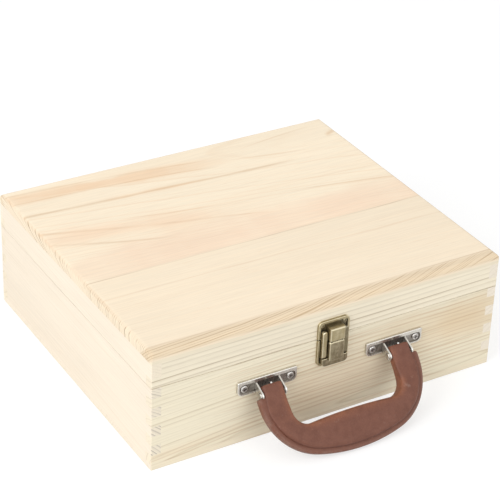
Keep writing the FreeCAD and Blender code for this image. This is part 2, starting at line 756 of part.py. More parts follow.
def hinge_screws(centre, side):
    """The two screws of a hinge leaf."""
    grip = HINGE_SHEET + SCREW_BITE
    return Part.makeCompound([
        screw(HINGE_SCREW_HEAD, HINGE_SCREW_RISE, HINGE_SCREW_SHANK, grip, x, BACK + HINGE_SHEET, z, 1)
        for x, z in hinge_screw_places(centre, side)
    ])


def wooden_case():
    """Base walls, bottom, lid walls and lid boards, with the hardware's screw holes."""
    base = finger_walls(BOTTOM, BASE_WALL_HEIGHT, SEAM, ("side", "long"))
    lid = finger_walls(LID_FOOT, LID_WALL_HEIGHT, LID_FOOT, ("long", "side"))
    for centre in (-LEG_CENTRE, LEG_CENTRE):
        places = bracket_screw_places(centre)
        base["front"] = pilot_holes(base["front"], places, BRACKET_SCREW_SHANK, FRONT, -1)
    base["front"] = pilot_holes(base["front"], base_screw_places(), LATCH_SCREW_SHANK, FRONT, -1)
    lid["front"] = pilot_holes(lid["front"], catch_screw_places(), LATCH_SCREW_SHANK, FRONT, -1)
    for centre in (-HINGE_CENTRE, HINGE_CENTRE):
        base["back"] = pilot_holes(base["back"], hinge_screw_places(centre, -1), HINGE_SCREW_SHANK, BACK, 1)
        lid["back"] = pilot_holes(lid["back"], hinge_screw_places(centre, 1), HINGE_SCREW_SHANK, BACK, 1)
    nodes = {"base_bottom_board": bottom_board()}
    for name, wall in base.items():
        nodes["base_" + name + "_wall"] = wall
    for name, wall in lid.items():
        nodes["lid_" + name + "_wall"] = wall
    nodes["lid_top_front_board"], nodes["lid_top_rear_board"] = lid_boards()
    return nodes


def hardware():
    """Brackets, latch and hinges."""
    nodes = {
        "latch_catch_plate": catch_plate(),
        "latch_catch_screws": latch_screws(catch_screw_places()),
        "latch_base_plate": latch_base(),
        "latch_base_screws": latch_screws(base_screw_places()),
        "latch_lever": lever(),
        "latch_lever_pin": lever_pin(),
        "latch_bail": bail(),
        "latch_bail_pin": bail_pin(),
    }
    for hand, sign in (("left", -1), ("right", 1)):
        bracket_x = sign * LEG_CENTRE
        nodes["handle_bracket_" + hand] = bracket(bracket_x)
        nodes["handle_pivot_pin_" + hand] = pivot_pin(bracket_x)
        nodes["handle_bracket_screws_" + hand] = bracket_screws(bracket_x)
        hinge_x = sign * HINGE_CENTRE
        nodes["hinge_base_leaf_" + hand] = hinge_leaf(hinge_x, -1)
        nodes["hinge_lid_leaf_" + hand] = hinge_leaf(hinge_x, 1)
        nodes["hinge_pin_" + hand] = hinge_pin(hinge_x)
        nodes["hinge_base_screws_" + hand] = hinge_screws(hinge_x, -1)
        nodes["hinge_lid_screws_" + hand] = hinge_screws(hinge_x, 1)
    return nodes


def main():
    """Write every node and print the angles and axes that the joints use."""
    os.makedirs("parts", exist_ok=True)
    nodes = wooden_case()
    nodes.update(hardware())
    nodes.update(handle_pieces())
    for name, shape in nodes.items():
        save(name, shape)
        solids = shape.Solids
        volume = sum(solid.Volume for solid in solids)
        print(name, "solids", len(solids), "valid", shape.isValid(), "volume", round(volume, 1))
    print("handle tilt at rest", round(rest_tilt(), 3), "pivot y z", out(PIVOT_OUT), PIVOT_Z)
    print("lever pivot y z", out(lever_pivot()[0]), lever_pivot()[1])
    print("bail pivot y z", out(bail_pivot()[0]), bail_pivot()[1])
    print("hinge axis y z", hinge_axis())


main()
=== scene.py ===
"""Looks of a wooden storage box: pine case, bronze toggle latch, nickel brackets and a leather handle."""
import logging
import math
from dataclasses import dataclass, field, replace
from enum import Enum
from typing import ClassVar, Sequence, Union

import bmesh
import bpy
from mathutils import Matrix, Vector


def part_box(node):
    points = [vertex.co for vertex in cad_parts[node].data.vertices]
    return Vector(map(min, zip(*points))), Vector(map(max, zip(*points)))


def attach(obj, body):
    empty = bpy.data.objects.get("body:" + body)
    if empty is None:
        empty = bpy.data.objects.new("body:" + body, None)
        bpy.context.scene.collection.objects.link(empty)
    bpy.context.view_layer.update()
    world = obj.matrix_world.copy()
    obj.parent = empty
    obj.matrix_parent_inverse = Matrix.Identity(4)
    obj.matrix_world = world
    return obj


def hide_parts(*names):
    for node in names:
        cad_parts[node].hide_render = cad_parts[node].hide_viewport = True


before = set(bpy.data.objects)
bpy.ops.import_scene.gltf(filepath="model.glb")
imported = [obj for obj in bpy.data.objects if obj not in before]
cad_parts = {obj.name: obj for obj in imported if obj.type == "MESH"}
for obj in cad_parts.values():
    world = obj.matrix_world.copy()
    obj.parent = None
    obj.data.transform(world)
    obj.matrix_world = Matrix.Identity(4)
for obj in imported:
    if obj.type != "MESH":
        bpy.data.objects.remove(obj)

LOG = logging.getLogger("storage_box")
MM = 0.001
NOISE_MIDDLE = 0.5
# Numbers of a Mix node's colour sockets, which share their names with the others
MIX_FIRST = 6
MIX_SECOND = 7
MIX_RESULT = 2
COORDINATES = ("Along", "Across", "Through", "Seed")

Span = tuple[float, float]
Triple = tuple[float, float, float]
Colour = Triple
Socket = bpy.types.NodeSocket
Sockets = dict[str, Socket]
Feed = Union[Socket, float, Sequence[float]]
Inputs = dict[Union[str, int], Feed]
# A smooth step: where it starts and ends, and its two levels if they aren't 0 and 1
Step = tuple[float, ...]
# A noise: its scale, its detail and, if it isn't a half, its roughness
Noise = tuple[float, ...]
# Places and levels of a run of grey stops
Stops = tuple[Span, ...]


class Graph:
    """Short calls for building one shader node tree."""

    def __init__(self, tree: bpy.types.NodeTree) -> None:
        """Keep the tree that the calls build."""
        self.tree = tree

    def feed(self, node: bpy.types.Node, inputs: Inputs) -> None:
        """Link or set a node's inputs.

        Args:
            node: The node.
            inputs: An output to link, or a number or colour to set, by the input's name or number.
        """
        for name, value in inputs.items():
            socket = node.inputs[name]
            if isinstance(value, bpy.types.NodeSocket):
                self.tree.links.new(value, socket)
            elif isinstance(value, (int, float)):
                socket.default_value = value
            elif socket.type == "RGBA" and len(value) == 3:
                socket.default_value = (*value, 1.0)
            else:
                socket.default_value = tuple(value)

    def add(self, kind: str, inputs: Inputs | None = None, **settings: object) -> bpy.types.Node:
        """Add a node.

        Args:
            kind: The node's type name after "ShaderNode".
            inputs: What its inputs get.
            **settings: The node's own options.

        Returns:
            The new node.
        """
        node = self.tree.nodes.new("ShaderNode" + kind)
        for name, value in settings.items():
            setattr(node, name, value)
        self.feed(node, inputs or {})
        return node

    def math(self, operation: str, *values: Feed, clamp: bool = False) -> Socket:
        """Result of a Math node, kept between 0 and 1 if it is clamped."""
        return self.add("Math", dict(enumerate(values)), operation=operation, use_clamp=clamp).outputs[0]

    def times(self, first: Feed, second: Feed) -> Socket:
        """Product of two values."""
        return self.math("MULTIPLY", first, second)

    def plus(self, first: Feed, second: Feed) -> Socket:
        """Sum of two values."""
        return self.math("ADD", first, second)

    def less(self, first: Feed, second: Feed) -> Socket:
        """First value less the second."""
        return self.math("SUBTRACT", first, second)

    def times_plus(self, first: Feed, second: Feed, third: Feed) -> Socket:
        """Product of two values, plus a third."""
        return self.math("MULTIPLY_ADD", first, second, third)

    def share(self, start: Feed, end: Feed, length: Feed) -> Socket:
        """How much of a length lies between start and end, from 0 to 1."""
        return self.math("DIVIDE", self.less(end, start), length, clamp=True)

    def step(self, value: Feed, low: float, high: float, to_low: float = 0.0, to_high: float = 1.0) -> Socket:
        """Smooth step of a value from low to high, and the levels that it has there."""
        levels = {"Value": value, "From Min": low, "From Max": high, "To Min": to_low, "To Max": to_high}
        return self.add("MapRange", levels, interpolation_type="SMOOTHSTEP").outputs["Result"]

    def vector(self, x: Feed, y: Feed, z: Feed) -> Socket:
        """Combine three values into a vector."""
        return self.add("CombineXYZ", {0: x, 1: y, 2: z}).outputs[0]

    def noise_node(self, place: Feed, scale: float, detail: float, roughness: float = 0.5) -> bpy.types.Node:
        """Add a three-dimensional noise, read at a place."""
        return self.add("TexNoise", {
            "Vector": place, "Scale": scale, "Detail": detail, "Roughness": roughness})

    def noise(self, place: Feed, *kind: float) -> Socket:
        """Value of a noise at a place."""
        return self.noise_node(place, *kind).outputs[0]

    def noises(self, place: Feed, *kind: float) -> Sequence[Socket]:
        """Three unlike values of a noise at a place."""
        return self.add("SeparateColor", {0: self.noise_node(place, *kind).outputs["Color"]}).outputs

    def mix(self, factor: Feed, first: Feed, second: Feed, blend: str = "MIX") -> Socket:
        """Mix two colours by the second one's share."""
        colours = {"Factor": factor, MIX_FIRST: first, MIX_SECOND: second}
        return self.add("Mix", colours, data_type="RGBA", blend_type=blend).outputs[MIX_RESULT]

    def tint(self, colour: Feed, mask: Feed, strength: Feed, tone: Feed) -> Socket:
        """Lay a tone over a colour where a mask says, at a strength."""
        return self.mix(self.times(mask, strength), colour, tone)

    def ramp(self, value: Feed, stops: Stops) -> Socket:
        """Map a value through a run of grey stops.

        Args:
            value: What is mapped.
            stops: Places and levels, in rising order of place.

        Returns:
            The mapped level.
        """
        node = self.add("ValToRGB", {0: value})
        elements = node.color_ramp.elements
        while len(elements) < len(stops):
            elements.new(1.0)
        for element, (place, level) in zip(elements, stops):
            element.position = place
            element.color = (level, level, level, 1.0)
        return node.outputs[0]

    def relief(self, height: Feed, strength: float, distance: float) -> Socket:
        """Normal of a bumpy surface, from its height."""
        return self.add("Bump", {"Strength": strength, "Distance": distance, "Height": height}).outputs[0]

    def group(self, effect: "Effect", inputs: Inputs) -> Sequence[Socket]:
        """Place a shared effect's node group and give its outputs."""
        return self.add("Group", inputs, node_tree=effect.group()).outputs


def new_material(name: str) -> tuple[bpy.types.Material, Graph, bpy.types.Node]:
    """Make an empty material.

    Args:
        name: The material's name.

    Returns:
        The material, its nodes and its shader.
    """
    material = bpy.data.materials.new(name)
    material.use_nodes = True
    return material, Graph(material.node_tree), material.node_tree.nodes["Principled BSDF"]


def link(name: str, data: bpy.types.ID) -> bpy.types.Object:
    """Put data into the scene as a new object.

    Args:
        name: The object's name.
        data: Its mesh, lamp or camera.

    Returns:
        The object.
    """
    thing = bpy.data.objects.new(name, data)
    bpy.context.scene.collection.objects.link(thing)
    return thing


def link_shape(name: str, shape: bmesh.types.BMesh) -> bpy.types.Object:
    """Put a finished shape into the scene as a new object.

    Args:
        name: The object's name.
        shape: The shape, which is freed.

    Returns:
        The object.
    """
    mesh = bpy.data.meshes.new(name)
    shape.to_mesh(mesh)
    shape.free()
    return link(name, mesh)


@dataclass(frozen=True)
class Effect:
    """A pattern of plain values that materials share as one node group."""

    name: ClassVar[str]
    inputs: ClassVar[tuple[str, ...]]
    outputs: ClassVar[tuple[str, ...]]

    def build(self, graph: Graph, given: Sockets) -> Sockets:
        """Make the pattern's nodes.

        Args:
            graph: The group's nodes.
            given: The group's inputs, by name.

        Returns:
            The group's outputs, by name.
        """
        raise NotImplementedError

    def group(self) -> bpy.types.NodeTree:
        """Make the node group, or find the one that an earlier material made.

        Returns:
            The group.
        """
        if self.name in bpy.data.node_groups:
            return bpy.data.node_groups[self.name]
        tree = bpy.data.node_groups.new(self.name, "ShaderNodeTree")
        for way, labels in (("INPUT", self.inputs), ("OUTPUT", self.outputs)):
            for label in labels:
                tree.interface.new_socket(label, in_out=way, socket_type="NodeSocketFloat")
        source = tree.nodes.new("NodeGroupInput")
        sink = tree.nodes.new("NodeGroupOutput")
        graph = Graph(tree)
        graph.feed(sink, self.build(graph, {label: source.outputs[label] for label in self.inputs}))
        return tree


@dataclass(frozen=True)
class RingLines(Effect):
    """Dark lines of growth rings that are unevenly wide and fade in patches."""

    drift: Span = (0.37, 1.7)
    dark: Stops = ((0.0, 0.3), (0.07, 0.0), (0.5, 0.03), (0.76, 0.28), (0.92, 1.0), (1.0, 0.3))
    patch_stretch: float = 9.0
    patch: Noise = (1.0, 1.0)
    patch_step: Step = (0.25, 0.65, 0.6, 1.0)
    tone_step: Step = (0.0, 1.0, 0.25, 1.0)

    def lines(self, graph: Graph, count: Socket, run: Socket, seed: Socket) -> tuple[Socket, Socket]:
        """Turn an even count of rings into uneven lines.

        Args:
            graph: The group's nodes.
            count: The rings counted so far.
            run: The place along the lines.
            seed: The board's own number.

        Returns:
            How dark each ring is across its width, and how strong its line is.
        """
        slow = graph.add("TexNoise", {"W": graph.times_plus(count, self.drift[0], seed), "Scale": 1.0,
                                      "Detail": 1.0}, noise_dimensions="1D")
        phase = graph.times_plus(slow.outputs[0], self.drift[1], count)
        number = graph.plus(graph.math("FLOOR", phase), seed)
        tone = graph.add("TexWhiteNoise", {"W": number}, noise_dimensions="1D").outputs["Value"]
        patch_place = graph.vector(graph.times(run, self.patch_stretch), number, seed)
        patch = graph.step(graph.noise(patch_place, *self.patch), *self.patch_step)
        strength = graph.times(patch, graph.step(tone, *self.tone_step))
        return graph.ramp(graph.math("FRACT", phase), self.dark), strength


@dataclass(frozen=True)
class GrowthRings(RingLines):
    """Growth rings round a leaning pith: the dark latewood and the ring's soft swell."""

    name = "pine_rings"
    inputs = COORDINATES + (
        "Pith Across", "Pith Through", "Lean Across", "Lean Through", "Spacing", "Waviness")
    outputs = ("Latewood", "Swell")
    warp_stretch: Span = (5.0, 14.0)
    warp: Noise = (1.0, 2.0, 0.4)

    def build(self, graph: Graph, given: Sockets) -> Sockets:
        """Make the rings' nodes.

        Args:
            graph: The group's nodes.
            given: The group's inputs, by name.

        Returns:
            The group's outputs, by name.
        """
        along, across, through, seed = (given[label] for label in COORDINATES)
        lengthwise, sideways = self.warp_stretch
        place = graph.vector(graph.times(along, lengthwise), graph.times(across, sideways),
                             graph.plus(graph.times(through, sideways), seed))
        warp = graph.noises(place, *self.warp)
        ways = []
        for side, label, channel in ((across, "Across", 0), (through, "Through", 1)):
            centre = graph.times_plus(along, given["Lean " + label], given["Pith " + label])
            wave = graph.times(graph.less(warp[channel], NOISE_MIDDLE), given["Waviness"])
            ways.append(graph.plus(graph.less(side, centre), wave))
        square = graph.times_plus(ways[1], ways[1], graph.times(ways[0], ways[0]))
        count = graph.math("DIVIDE", graph.math("SQRT", square), given["Spacing"])
        late, strength = self.lines(graph, count, along, seed)
        return {"Latewood": graph.times(late, strength), "Swell": late}


@dataclass(frozen=True)
class EdgeLines(RingLines):
    """Slanting lines of the rings that a rounded edge cuts open: Wrap runs over the edge and Run along it."""

    name = "edge_strokes"
    inputs = ("Run", "Wrap", "Start", "End", "Slope", "Bend", "Spacing", "Seed")
    outputs = ("Lines", "Band", "Below")
    drift: Span = (0.45, 1.6)
    dark: Stops = ((0.0, 0.15), (0.1, 0.0), (0.64, 0.06), (0.84, 1.0), (1.0, 0.15))
    patch_stretch: float = 16.0
    patch_step: Step = (0.25, 0.55)
    tone_step: Step = (0.0, 1.0, 0.5, 1.0)
    sway_stretch: float = 11.0
    sway: Noise = (1.0, 2.0)
    sway_reach: float = 0.009
    rise: float = 0.003
    drop: float = 0.002
    below: float = 0.0015

    def build(self, graph: Graph, given: Sockets) -> Sockets:
        """Make the lines' nodes.

        Args:
            graph: The group's nodes.
            given: The group's inputs, by name.

        Returns:
            The group's outputs, by name.
        """
        run, wrap, seed = given["Run"], given["Wrap"], given["Seed"]
        sway = graph.noise(graph.vector(graph.times(run, self.sway_stretch), seed, 0.0), *self.sway)
        lean = graph.times_plus(run, given["Bend"], given["Slope"])
        bent = graph.times_plus(sway, self.sway_reach, graph.less(wrap, graph.times(run, lean)))
        line, strength = self.lines(graph, graph.math("DIVIDE", bent, given["Spacing"]), run, seed)
        rise = graph.share(given["Start"], wrap, self.rise)
        band = graph.times(rise, graph.share(wrap, given["End"], self.drop))
        return {"Lines": graph.times(band, graph.times(line, strength)), "Band": band,
                "Below": graph.share(given["End"], wrap, self.below)}


@dataclass(frozen=True)
class WoodFibre(Effect):
    """Fine fibres, short resin dashes and broad cloudy changes of tone.

    Each has its scales along and across the grain, and its detail.
    """

    name = "pine_fibre"
    inputs = COORDINATES
    outputs = ("Fibre", "Streaks", "Dashes", "Clouds")
    fibre: Triple = (22.0, 900.0, 3.0)
    streaks: Triple = (5.0, 110.0, 2.0)
    dashes: Triple = (60.0, 1500.0, 1.0)
    clouds: Triple = (4.0, 12.0, 2.0)
    roughness: float = 0.6
    dash_step: Step = (0.66, 0.76)

    def build(self, graph: Graph, given: Sockets) -> Sockets:
        """Make the fibres' nodes.

        Args:
            graph: The group's nodes.
            given: The group's inputs, by name.

        Returns:
            The group's outputs, by name.
        """
        along, across, through, seed = (given[label] for label in COORDINATES)
        results = {}
        for label, kind in zip(self.outputs, (self.fibre, self.streaks, self.dashes, self.clouds)):
            lengthwise, sideways, detail = kind
            place = graph.vector(graph.times(along, lengthwise), graph.times(across, sideways),
                                 graph.times_plus(through, sideways, seed))
            results[label] = graph.noise(place, 1.0, detail, self.roughness)
        results["Dashes"] = graph.step(results["Dashes"], *self.dash_step)
        return results


@dataclass(frozen=True)
class StreakLine(Effect):
    """One coloured streak along a bent line that fades at both ends."""

    name = "grain_streak"
    inputs = ("Along", "Across", "Level", "Slope", "Bend", "Width", "Flatness", "Start", "End", "Fade")
    outputs = ("Mask",)
    wander_stretch: float = 13.0
    wander_variety: float = 900.0
    wander: Noise = (1.0, 3.0)
    sway: Span = (0.5, 0.0032)
    width_step: Step = (0.3, 0.7, 0.6, 1.5)
    uneven_step: Step = (0.3, 0.65, 0.3, 1.0)

    def build(self, graph: Graph, given: Sockets) -> Sockets:
        """Make the streak's nodes.

        Args:
            graph: The group's nodes.
            given: The group's inputs, by name.

        Returns:
            The group's outputs, by name.
        """
        along = given["Along"]
        key = graph.times(given["Level"], self.wander_variety)
        wander = graph.noises(graph.vector(graph.times(along, self.wander_stretch), key, 0.0), *self.wander)
        sway = graph.times_plus(given["Width"], *self.sway)
        shift = graph.times(graph.less(wander[0], NOISE_MIDDLE), sway)
        width = graph.times(given["Width"], graph.step(wander[1], *self.width_step))
        uneven = graph.step(wander[2], *self.uneven_step)
        slope = graph.times_plus(along, given["Bend"], given["Slope"])
        line = graph.times_plus(along, slope, given["Level"])
        distance = graph.plus(graph.less(given["Across"], line), shift)
        scaled = graph.math("ABSOLUTE", graph.math("DIVIDE", distance, width))
        power = graph.math("POWER", scaled, given["Flatness"])
        fall = graph.math("POWER", math.e, graph.times(power, -1.0))
        rise = graph.share(given["Start"], along, given["Fade"])
        drop = graph.share(along, given["End"], given["Fade"])
        return {"Mask": graph.times(fall, graph.times(uneven, graph.times(rise, drop)))}


@dataclass(frozen=True)
class EdgeWearAndLight(Effect):
    """Masks of a piece's edges, sharp or rounded, which are worn and get a painted highlight, and of its
    inner corners, which get soiling and painted shade.
    """

    name = "edge_wear_and_light"
    inputs = ("Reach", "Normal X", "Normal Y", "Normal Z")
    outputs = ("Edge", "Crevice")
    samples: int = 8
    sharp_step: Step = (0.9, 0.5, 0.0, 0.6)
    rounded_step: Step = (0.985, 0.84)
    crevice_reach: float = 4.0
    crevice_step: Step = (0.8, 0.3)

    def build(self, graph: Graph, given: Sockets) -> Sockets:
        """Make the wear's nodes.

        Args:
            graph: The group's nodes.
            given: The group's inputs, by name.

        Returns:
            The group's outputs, by name.
        """
        near = given["Reach"]
        inside = graph.add("AmbientOcclusion", {"Distance": near}, samples=self.samples, inside=True,
                           only_local=True)
        # Crevice: painted shade in inner corners, with some soiling, from the occlusion around the surface
        around = graph.add("AmbientOcclusion", {"Distance": graph.times(near, self.crevice_reach)},
                           samples=self.samples, only_local=True)
        x, y, z = (graph.math("ABSOLUTE", given["Normal " + axis]) for axis in "XYZ")
        straight = graph.math("MAXIMUM", x, graph.math("MAXIMUM", y, z))
        # Edge: worn edges with a painted highlight, from sharp corners and from rounded faces
        sharp = graph.step(inside.outputs["AO"], *self.sharp_step)
        return {"Edge": graph.math("MAXIMUM", sharp, graph.step(straight, *self.rounded_step)),
                "Crevice": graph.step(around.outputs["AO"], *self.crevice_step)}


@dataclass(frozen=True)
class Patina(Effect):
    """Tarnish that stays in the low places of pressed metal, with fine scratches and blotches."""

    name = "metal_patina"
    inputs = ("X", "Y", "Z", "Out", "Facing", "Floor", "Rim", "Ragged")
    outputs = ("Low", "Blotch", "Grain", "Scratch")
    blotch: Noise = (260.0, 3.0, 0.6)
    grain: Noise = (2600.0, 2.0, 0.7)
    brush: Triple = (5200.0, 500.0, 160.0)
    scratch: Noise = (1.0, 2.0, 0.6)
    facing_step: Step = (0.6, 0.9)

    def build(self, graph: Graph, given: Sockets) -> Sockets:
        """Make the patina's nodes.

        Args:
            graph: The group's nodes.
            given: The group's inputs, by name.

        Returns:
            The group's outputs, by name.
        """
        axes = [given[axis] for axis in "XYZ"]
        place = graph.vector(*axes)
        brushed = graph.vector(*(graph.times(axis, scale) for axis, scale in zip(axes, self.brush)))
        blotch = graph.noise(place, *self.blotch)
        wavy = graph.times_plus(graph.less(blotch, NOISE_MIDDLE), given["Ragged"], given["Out"])
        low = graph.share(wavy, given["Rim"], graph.less(given["Rim"], given["Floor"]))
        return {"Low": graph.times(low, graph.step(given["Facing"], *self.facing_step)), "Blotch": blotch,
                "Grain": graph.noise(place, *self.grain), "Scratch": graph.noise(brushed, *self.scratch)}


class GrainAxis(Enum):
    """Which coordinate runs along the grain, across the board's face and through its thickness."""

    WALL_ALONG_WIDTH = ("X", "Z", "Y")
    WALL_ALONG_DEPTH = ("Y", "Z", "X")
    PANEL_ALONG_WIDTH = ("X", "Y", "Z")


ORANGE: Colour = (0.83, 0.52, 0.29)
PINK: Colour = (0.88, 0.63, 0.46)
PEACH: Colour = (0.90, 0.62, 0.42)
APRICOT: Colour = (0.78, 0.55, 0.33)
TAN: Colour = (0.78, 0.61, 0.40)
AMBER: Colour = (0.70, 0.45, 0.25)
BISCUIT: Colour = (0.67, 0.515, 0.325)
CARAMEL: Colour = (0.64, 0.43, 0.25)
RUST: Colour = (0.57, 0.375, 0.21)
BROWN: Colour = (0.55, 0.38, 0.235)
STROKE: Colour = (0.43, 0.275, 0.135)
# Painted shade of the gap between the case and the lid
SEAM_SHADE: Colour = (0.34, 0.22, 0.11)


@dataclass(frozen=True)
class Streak:
    """A coloured streak in a board, in millimetres.

    Three points, each along and across the grain, give its line. It fades over a length at both ends.
    """

    start: Span
    middle: Span
    end: Span
    width: float
    strength: float
    tone: Colour = ORANGE
    fade: float = 30.0
    flatness: float = 2.0

    def curve(self) -> Triple:
        """Find the parabola through the three points.

        Returns:
            Its level, slope and bend, in metres.
        """
        first = (self.middle[1] - self.start[1]) / (self.middle[0] - self.start[0])
        second = (self.end[1] - self.middle[1]) / (self.end[0] - self.middle[0])
        bend = (second - first) / (self.end[0] - self.start[0])
        slope = first - bend * (self.start[0] + self.middle[0])
        level = self.start[1] - first * self.start[0] + bend * self.start[0] * self.middle[0]
        return level * MM, slope, bend / MM

    def mask(self, graph: Graph, place: Inputs) -> Socket:
        """Place the streak in a board's material.

        Args:
            graph: The material's nodes.
            place: The board's coordinates.

        Returns:
            The share of the streak's tone.
        """
        level, slope, bend = self.curve()
        streak = graph.group(StreakLine(), {
            "Along": place["Along"], "Across": place["Across"], "Level": level, "Slope": slope, "Bend": bend,
            "Width": self.width * MM, "Flatness": self.flatness, "Start": self.start[0] * MM,
            "End": self.end[0] * MM, "Fade": self.fade * MM})
        return graph.times(streak["Mask"], self.strength)


@dataclass(frozen=True)
class EdgeStrokes:
    """Ring strokes on a board's rounded long edge, in millimetres: its sign, its span and the strokes."""

    outward: float
    start: float
    end: float
    slope: float
    bend: float
    spacing: float
    strength: float
    tint: float
    face: Colour

    def colour(self, graph: Graph, place: Inputs, below: Socket) -> Socket:
        """Lay the strokes over a board's colour.

        Args:
            graph: The material's nodes.
            place: The board's coordinates and its seed.
            below: The colour below the strokes.

        Returns:
            The colour with the strokes.
        """
        wrap = graph.less(graph.times(place["Across"], self.outward), place["Through"])
        strokes = graph.group(EdgeLines(), {
            "Run": place["Along"], "Wrap": wrap, "Start": self.start * MM, "End": self.end * MM,
            "Slope": self.slope, "Bend": self.bend / MM, "Spacing": self.spacing * MM, "Seed": place["Seed"]})
        faced = graph.mix(strokes["Below"], below, self.face)
        tinted = graph.tint(faced, strokes["Band"], self.tint, BISCUIT)
        return graph.tint(tinted, strokes["Lines"], self.strength, STROKE)


@dataclass(frozen=True)
class PlanedPine:
    """What all the boards share: how faces turn into ends, how tones vary, the gloss and the relief."""

    end: Step = (0.3, 0.85)
    end_patch: Step = (0.35, 0.55)
    end_fade: float = 0.45
    warm: Step = (0.4, 0.75)
    flat: Step = (0.5, 0.85)
    round_start: Step = (0.15, 0.5)
    round_stop: Step = (0.99, 0.85)
    round_patch: Step = (0.35, 0.6)
    round_fade: float = 0.3
    dashes: float = 0.22
    cloud: Step = (0.3, 0.7, 0.975, 1.015)
    thread: Step = (0.3, 0.7, 0.955, 1.02)
    roughness: Step = (0.2, 0.8, 0.5, 0.66)
    specular: float = 0.3
    swell: float = 0.5
    relief: Span = (0.16, 0.00025)


@dataclass(frozen=True)
class PineFinish:
    """One board's bare pine, in millimetres: its pith's place and lean, its rings and its tones.

    Lines and end lines are the rings' strength on faces and on ends, warmth is that of broad warm streaks,
    and slant that of the brown on rounded ends.
    """

    grain: GrainAxis
    pith: Span
    spacing: float
    lean: Span = (0.0, 0.0)
    waviness: float = 6.0
    lines: float = 0.6
    end_lines: float = 0.6
    warmth: float = 0.05
    slant: float = 0.0
    early: Colour = (0.89, 0.77, 0.59)
    late: Colour = (0.60, 0.44, 0.27)
    end_tone: Colour = (0.86, 0.76, 0.60)
    end_late: Colour = (0.50, 0.41, 0.30)
    seed: float = 0.0
    streaks: tuple[Streak, ...] = ()
    edge: EdgeStrokes | None = None
    planed: PlanedPine = PlanedPine()

    def material(self, name: str) -> bpy.types.Material:
        """Make the board's material.

        Args:
            name: The material's name.

        Returns:
            The material.
        """
        material, graph, shader = new_material(name)
        planed = self.planed
        coordinate = graph.add("TexCoord")
        split = graph.add("SeparateXYZ", {0: coordinate.outputs["Object"]}).outputs
        normal = graph.add("SeparateXYZ", {0: coordinate.outputs["Normal"]}).outputs
        along, across, through = self.grain.value
        lengthwise = graph.math("ABSOLUTE", normal[along])
        place = {"Along": split[along], "Across": split[across], "Through": split[through], "Seed": self.seed}
        rings = graph.group(GrowthRings(), dict(
            place, **{"Pith Across": self.pith[0] * MM, "Pith Through": self.pith[1] * MM,
                      "Lean Across": self.lean[0], "Lean Through": self.lean[1],
                      "Spacing": self.spacing * MM, "Waviness": self.waviness * MM}))
        fibre = graph.group(WoodFibre(), place)
        end = graph.step(lengthwise, *planed.end)
        faded = planed.end_fade * self.end_lines
        ends = graph.step(fibre["Clouds"], *planed.end_patch, faded, self.end_lines)
        level = graph.times_plus(end, graph.less(ends, self.lines), self.lines)
        ground = graph.mix(end, self.early, self.end_tone)
        colour = graph.tint(ground, rings["Latewood"], level, graph.mix(end, self.late, self.end_late))
        colour = graph.mix(graph.step(fibre["Streaks"], *planed.warm, 0.0, self.warmth), colour, self.late)
        flat = graph.step(graph.math("ABSOLUTE", normal[through]), *planed.flat)
        for streak in self.streaks:
            colour = graph.tint(colour, streak.mask(graph, place), flat, streak.tone)
        if self.slant:
            rounded = graph.times(graph.step(lengthwise, *planed.round_start),
                                  graph.step(lengthwise, *planed.round_stop))
            faded = planed.round_fade * self.slant
            uneven = graph.step(fibre["Clouds"], *planed.round_patch, faded, self.slant)
            colour = graph.tint(colour, rounded, uneven, BROWN)
        if self.edge:
            colour = self.edge.colour(graph, place, colour)
        colour = graph.tint(colour, fibre["Dashes"], planed.dashes, self.late)
        light = graph.times(graph.step(fibre["Clouds"], *planed.cloud),
                            graph.step(fibre["Fibre"], *planed.thread))
        height = graph.times_plus(rings["Swell"], planed.swell, fibre["Fibre"])
        graph.feed(shader, {
            "Base Color": graph.mix(1.0, colour, graph.vector(light, light, light), "MULTIPLY"),
            "Roughness": graph.step(fibre["Fibre"], *planed.roughness),
            "Specular IOR Level": planed.specular, "Normal": graph.relief(height, *planed.relief)})
        return material


class Side(Enum):
    """Which way a fitting faces, as the sign of its outward direction along Y."""

    FRONT = -1.0
    BACK = 1.0


